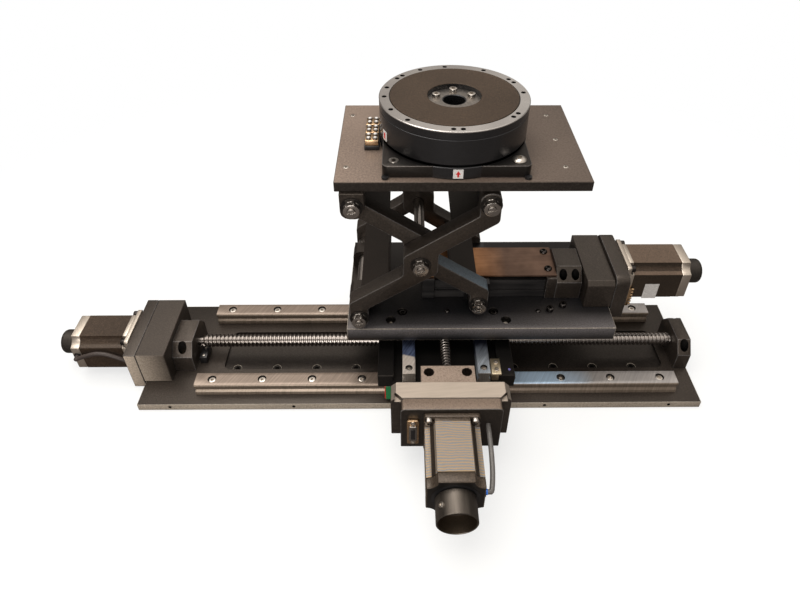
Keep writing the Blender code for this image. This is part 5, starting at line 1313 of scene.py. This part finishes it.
# A washer, a nut and the slotted end of the stud at both ends of each pivot.
def makeNuts(node, rises):
    form = nutForm
    rim, nutRadius, bevel, stud = [form[key] for key in ("washer", "nut", "bevel", "stud")]
    low = form["washerHeight"]
    high = low + form["nutHeight"]
    tip, neck = high + form["studHeight"], stud - 0.0002
    x, y, _ = boxMiddle(node)
    face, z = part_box(node)[1][1] - y - form["past"], liftMiddle.z + rises * liftForm["rise"]
    places = [facing((x, y + side * face, z), (0, side, 0), 12 + 23 * index)
              for index, side in enumerate((-1, 1))]
    washer = [(0.0001, 0), (0.0001, rim), (low - 0.0003, rim), (low, rim - 0.0003), (low, 0)]
    nut = [(low, 0), (low, nutRadius * 0.93), (low + bevel * 0.5, nutRadius), (high - bevel, nutRadius),
           (high - bevel * 0.4, nutRadius * 0.93), (high, nutRadius * 0.80), (high, stud),
           (high - 0.0004, stud), (high - 0.0004, 0)]
    piece = newPiece()
    addShape(piece, lathe(washer, "Z", 48), "deep", places)
    addShape(piece, lathe(nut, "Z", 48, (2, 3)), "nut", places)
    addShape(piece, lathe(stepped([(high - 0.001, neck)], tip - 0.0011), "Z", 40), "nut", places)
    for side in (-1, 1):
        addShape(piece, slab(slottedEnd(neck, side), "Z", tip - 0.0012, tip, 0.0003), "nut", places)
    makePiece(node + ".nuts", piece, node)


for node, settings in arms.items():
    makeArm(node, *settings)
for node, rises in pivots.items():
    makeNuts(node, rises)
print("lift made")

# Rotary stage

rotaryLow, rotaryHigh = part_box("rotary_base")
tableLow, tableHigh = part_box("rotary_table")
rotary = {
    "centre": boxMiddle("rotary_base")[:2], "seat": rotaryLow[2], "bodyTop": rotaryHigh[2],
    "body": (rotaryHigh[0] - rotaryLow[0]) / 2, "flange": 0.144, "flangeHeight": 0.0128,
    "corner": 0.006, "holeAt": 0.0608, "hole": 0.003, "spigot": 0.0151, "slit": 0.0003,
    "footEdge": 0.0030, "edge": 0.0005,
}
turntable = {
    "high": tableHigh[2], "below": tableLow[2], "radius": (tableHigh[0] - tableLow[0]) / 2,
    "ringHeight": 0.0014, "disc": 0.065, "groove": 0.0008, "rise": 0.0004, "recess": 0.0272,
    "recessDepth": 0.005, "bore": 0.01125, "wall": 0.0035, "spigotDepth": 0.008, "hole": 0.0023,
    "holeCircle": 0.0705, "singles": (-132, -154, -177.8, 4.9, 165, 60, 95, 118),
    "pairs": (141.4, 29.0, -37.6, -90.6), "pairSpread": 7.2, "screwCircle": 0.0193,
    "screws": (22, 90, 158), "screw": (0.0042, 0.0040, 0.0021),
}
stageMarks = {  # from the middle and the seat; the drum's labels by angles, heights and how far out
    "screw": (0.0072, 0.0034, 0.0024), "foot": 0.0035, "footAt": 0.069,
    "frontLabel": ((-0.0040, 0.0014), (0.0058, 0.0112)),
    "arrow": {"x": 0.0009, "low": 0.0030, "high": 0.0096, "width": 0.0048, "neck": 0.45},
    "drumLabels": [("sticker", (200, 206.5), (0.0175, 0.0275), 0.0003),
                   ("red", (202, 204.5), (0.0195, 0.0255), 0.0005)],
}
sockets = {"count": 3, "strip": 0.0045, "shell": 0.44, "rows": (0.28, 0.72), "sides": (-0.22, 0.22),
           "barrel": 0.0026, "contact": 0.0015}


# The place at an angle on a circle round the stage's middle.
def aroundStage(radius, degrees):
    turn = math.radians(degrees)
    x, y = rotary["centre"]
    return x + radius * math.cos(turn), y + radius * math.sin(turn)


def makeRotaryBase():
    x, y = rotary["centre"]
    at, holeAt = moved(x, y), rotary["holeAt"]
    seat, radius, top, spigot = [rotary[key] for key in ("seat", "body", "bodyTop", "spigot")]
    edge, footEdge, shelf = rotary["edge"], rotary["footEdge"], seat + rotary["flangeHeight"]
    piece = newPiece(["drum", "slate", "deep"])
    square = rounded(rectangle(rotary["flange"], rotary["flange"]), rotary["corner"])
    # the flange's bevels take the lighter grey as a painted highlight
    addShape(piece, slab(square, "Z", seat, shelf, 0.0006), "deep", at, "slate")
    cutter = newPiece(piece["names"])
    # the walls of the cuts from below are painted near black as painted shade
    addShape(cutter, rod(radius - 0.003, "Z", seat - 0.001, seat + 0.02, steps=96), "deep", at)
    for u in (-1, 1):
        for v in (-1, 1):
            hole = rod(rotary["hole"], "Z", seat - 0.001, seat + 0.02)
            addShape(cutter, hole, "deep", moved(x + u * holeAt, y + v * holeAt))
    makePiece("rotary_base.flange", piece, "rotary_base", ("rotary_base",), (cutter,))
    drum = newPiece()
    low = shelf + rotary["slit"]
    bulge = [(seat, spigot), (seat, radius - edge), (seat + edge, radius), (shelf - 0.0006, radius),
             (shelf, radius - 0.0006), (shelf, spigot)]
    body = [(low, spigot), (low, radius - footEdge), (low + footEdge, radius), (top - edge, radius),
            (top, radius - edge), (top, spigot)]
    for profile in (bulge, body):
        addShape(drum, lathe(profile, "Z", 160, ring=True), "drum", at)
    makePiece("rotary_base.drum", drum, "rotary_base", sharp=28)


# The bright ring with its single and paired holes.
def makeRing():
    form = turntable
    top, radius, edge = form["high"] - form["rise"], form["radius"], form["disc"] + form["groove"]
    low = top - form["ringHeight"]
    ring = [(low, edge - 0.0002), (low, radius), (top - 0.0006, radius), (top, radius - 0.0006),
            (top, edge), (top - 0.0004, edge - 0.0002)]
    piece = newPiece(["ring", "drum", "deep"])
    addShape(piece, lathe(ring, "Z", 160, ring=True), "ring", moved(*rotary["centre"]))
    cutter = newPiece(piece["names"])
    paired = [pair + side * form["pairSpread"] / 2 for pair in form["pairs"] for side in (-1, 1)]
    # the holes' walls are painted near black as painted shade
    for angle in [*form["singles"], *paired]:
        hole = boreTool(form["hole"], low - 0.001, top, 0.0002)
        addShape(cutter, hole, "deep", moved(*aroundStage(form["holeCircle"], angle)))
    makePiece("rotary_table.ring", piece, "rotary_table", ("rotary_table",), (cutter,))


# The disc with its recess and bore, and the three screws in the recess.
def makeDisc():
    form, at = turntable, moved(*rotary["centre"])
    bore, recess, disc, high, below = [form[key] for key in ("bore", "recess", "disc", "high", "below")]
    top, low = high - form["rise"], below + form["spigotDepth"]
    wall, rim, floor = bore + form["wall"], form["radius"] - 0.0001, top - form["recessDepth"]
    ledge = top - form["ringHeight"] - 0.0001
    body = [(below, bore), (below, wall), (low, wall), (low, rim - 0.0004), (low + 0.0004, rim),
            (ledge, rim), (ledge, disc), (high - 0.0003, disc), (high, disc - 0.0003),
            (high, recess + 0.0004), (high - 0.0004, recess), (floor, recess), (floor, bore + 0.0004),
            (floor - 0.0004, bore)]
    shape = lathe(body, "Z", 160, ring=True)
    for face in shape.faces:
        centre = face.calc_center_median()
        away = math.hypot(centre.x, centre.y)
        onDisc = recess < away < disc + 0.0001 and centre.z > floor + 0.004
        face.material_index = 0 if onDisc else 1
    washer = [(floor - 0.0002, bore + 0.0012), (floor - 0.0002, recess - 0.0003),
              (floor + 0.0001, recess - 0.0003), (floor + 0.0001, bore + 0.0012)]
    plate = newPiece()
    addShape(plate, shape, "disc", at, "drum")
    addShape(plate, lathe(washer, "Z", 96, ring=True), "recessFloor", at)
    makePiece("rotary_table.disc", plate, "rotary_table", sharp=28)
    heads = newPiece()
    seats = [((*aroundStage(form["screwCircle"], angle), floor - sunk), (0, 0, 1), angle)
             for angle in form["screws"]]
    addScrews(heads, "bolt", *form["screw"], seats)
    makePiece("rotary_table.screws", heads, "rotary_table")


# A thin label that follows the drum between two angles.
def drumLabel(first, last, low, high, out):
    inner, outer = rotary["body"] - 0.0002, rotary["body"] + out
    angles = [math.radians(first + (last - first) * step / 8) for step in range(9)]
    outline = [(outer * math.cos(turn), outer * math.sin(turn)) for turn in angles]
    outline += [(inner * math.cos(turn), inner * math.sin(turn)) for turn in reversed(angles)]
    return slab(outline, "Z", low, high)


# A flat arrow that points up, standing out of a vertical face towards -Y.
def arrow(x, y, low, high, width, neck):
    shoulder = low + (high - low) * neck
    outline = [(x - width / 5, low), (x + width / 5, low), (x + width / 5, shoulder),
               (x + width / 2, shoulder), (x, high), (x - width / 2, shoulder),
               (x - width / 5, shoulder)]
    return slab(outline, "Y", y - 0.0002, y + 0.0001)


def makeMarks():
    x, y = rotary["centre"]
    seat, holeAt = rotary["seat"], rotary["holeAt"]
    top = seat + rotary["flangeHeight"]
    front, bulge = y - rotary["flange"] / 2, y - rotary["body"]
    piece = newPiece()
    seats = raised([(x + holeAt, y - holeAt)], top - sunk, 12)
    addScrews(piece, "bolt", *stageMarks["screw"], seats, True)
    grommet = [(top - 0.004, 0.0028), (top - 0.004, 0.0022), (top + 0.0003, 0.0022),
               (top + 0.0003, 0.0048), (top - 0.0001, 0.0050), (top - 0.0001, 0.0028)]
    addShape(piece, lathe(grommet, "Z", 40, ring=True), "bolt", moved(x - holeAt, y - holeAt))
    for side in (-1, 1):
        foot = rod(stageMarks["foot"], "Z", seat - 0.0002, seat + 0.0022)
        addShape(piece, foot, "blackPlastic", moved(x + side * stageMarks["footAt"], front - 0.0010))
    low, high = [(x + u, seat + v) for u, v in stageMarks["frontLabel"]]
    addShape(piece, slab(spanned(low, high), "Y", bulge - 0.0003, bulge + 0.0006), "sticker")
    form = stageMarks["arrow"]
    addShape(piece, arrow(x + form["x"], bulge - 0.0003, seat + form["low"], seat + form["high"],
                          form["width"], form["neck"]), "red")
    for paint, angles, (start, end), out in stageMarks["drumLabels"]:
        addShape(piece, drumLabel(*angles, seat + start, seat + end, out), paint, moved(x, y))
    makePiece("rotary_base.marks", piece, "rotary_base")


# The rotary stage's row of sockets: a black strip with gold contacts in three bright shells.
def makeSockets():
    low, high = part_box("rotary_connector")
    form = sockets
    pitch = (high[1] - low[1]) / form["count"]
    piece = newPiece()
    strip = slab(spanned(low[:2], high[:2]), "Z", low[2], low[2] + form["strip"], 0.0004)
    addShape(piece, strip, "blackPlastic")
    for index in range(form["count"]):
        middle, half = low[1] + pitch * (index + 0.5), pitch * form["shell"]
        shell = spanned((low[0] + 0.0008, middle - half), (high[0] - 0.0008, middle + half))
        addShape(piece, slab(shell, "Z", low[2] + 0.003, high[2] - 0.0022, 0.0006), "gold")
        for row in form["rows"]:
            for side in form["sides"]:
                at = (low[0] + (high[0] - low[0]) * row, middle + pitch * side)
                barrel = rod(form["barrel"], "Z", low[2] + 0.005, high[2] - 0.0006, at, 24)
                addShape(piece, barrel, "nut")
                addShape(piece, rod(form["contact"], "Z", high[2] - 0.0008, high[2], at, 16), "sticker")
    makePiece("rotary_connector.row", piece, "rotary_connector", ("rotary_connector",))


makeRotaryBase()
makeRing()
makeDisc()
makeMarks()
makeSockets()
print("rotary stage made")

# Small fittings

fittings = {  # boxes by finish, axis, corners, span and bevel; screws by finish, form, places and spin
    "z_guide_cover.screws": {
        "buttons": [("darkBolt", (0.0047, 0.0030, 0.0022),
                     [(0.1544, 0.0208, 0.1319), (0.1544, 0.0529, 0.1319)], 20)],
    },
    "z_bearing_block.feet": {
        "screws": [("darkBolt", (0.0042, 0.0045, 0.0020),
                    [(0.1547, -0.0155, 0.0982), (0.1712, -0.0086, 0.0982)], 0)],
    },
    "saddle_plate.switches": {
        "boxes": [("brass", "Z", (0.0815, -0.0825), (0.0895, -0.0590), (0.0516, 0.0603), 0.0006),
                  ("brass", "Z", (0.0815, -0.0825), (0.0925, -0.0590), (0.0602, 0.0625), 0.0006)],
        "screws": [("bolt", (0.0026, 0.0014, 0.0012),
                    [(0.0875, -0.0649, 0.0624), (0.0875, -0.0758, 0.0624)], 0),
                   ("violet", (0.0015, 0.0010, 0.0008), [(0.1026, -0.0736, 0.0597)], 0)],
    },
    "top_plate.sleeves": {
        "screws": [("bolt", (0.0027, 0.0030, 0.0013),
                    [(-0.0758, -0.0160, 0.2951), (-0.0758, 0.0937, 0.2951), (0.1420, -0.0160, 0.2951),
                     (0.1420, 0.0387, 0.2951), (0.1420, 0.0937, 0.2951)], 20)],
    },
    "base_plate.switch": {
        "boxes": [("blackPlastic", "Z", (-0.2770, -0.0190), (-0.2680, 0.0028), (0.0101, 0.0200),
                   0.0005)],
        "screws": [("bolt", (0.0018, 0.0010, 0.0009),
                    [(-0.2725, -0.0150, 0.0199), (-0.2725, -0.0030, 0.0199)], 0)],
    },
    "z_motor.label": {
        "boxes": [("label", "Y", (0.2710, 0.0960), (0.2880, 0.1190), (0.0067, 0.0073), 0),
                  ("gold", "Y", (0.2452, 0.0880), (0.2545, 0.1150), (0.0020, 0.0066), 0.0004)],
        "pins": ("gold", 0.0016, (0.2540, 0.2572), [(0.0042, 0.0900 + 0.0046 * pin) for pin in range(6)]),
    },
}
plug = {  # shares of the width and height, corner, bevel and finish of its plate, shell and core
    "plate": (1, 1, 0.002, 0.0004, "gold"), "shell": (0.66, 0.62, 0.0016, 0.0004, "nut"),
    "core": (0.36, 0.40, 0.0012, 0, "blackPlastic"), "screw": (0.0026, 0.0012, 0.0012),
    "screwAt": 0.0160,
}


def makeFitting(name, fitting):
    node = name.split(".")[0]
    piece = newPiece()
    for paint, axis, low, high, span, bevel in fitting.get("boxes", ()):
        addShape(piece, slab(spanned(low, high), axis, *span, bevel), paint)
    if "pins" in fitting:
        paint, radius, span, places = fitting["pins"]
        for place in places:
            addShape(piece, rod(radius, "X", *span, place, 16), paint)
    for kind in ("screws", "buttons"):
        for paint, form, places, spin in fitting.get(kind, ()):
            addScrews(piece, paint, *form, [(place, (0, 0, 1), spin) for place in places],
                      kind == "buttons")
    makePiece(name, piece, node)


# The plug on the Y flange, with its plate, shell and core along Y and a screw above and below.
def makePlug():
    low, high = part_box("y_connector")
    width, tip, back, height = high[0] - low[0], low[1], high[1], high[2] - low[2]
    middle = ((low[0] + high[0]) / 2, (low[2] + high[2]) / 2)
    spans = {"plate": (back - 0.003, back), "shell": (tip + 0.001, back - 0.002),
             "core": (tip, tip + 0.002)}
    piece = newPiece()
    for part, span in spans.items():
        wide, tall, corner, bevel, paint = plug[part]
        outline = rounded(rectangle(width * wide, height * tall, middle), corner, 6)
        addShape(piece, slab(outline, "Y", *span, bevel), paint)
    seats = [((middle[0], back - 0.0029, middle[1] + side * plug["screwAt"]), (0, -1, 0))
             for side in (-1, 1)]
    addScrews(piece, "bolt", *plug["screw"], seats)
    makePiece("y_connector.plug", piece, "y_connector", ("y_connector",))


for name, fitting in fittings.items():
    makeFitting(name, fitting)
makePlug()
print("fittings made")
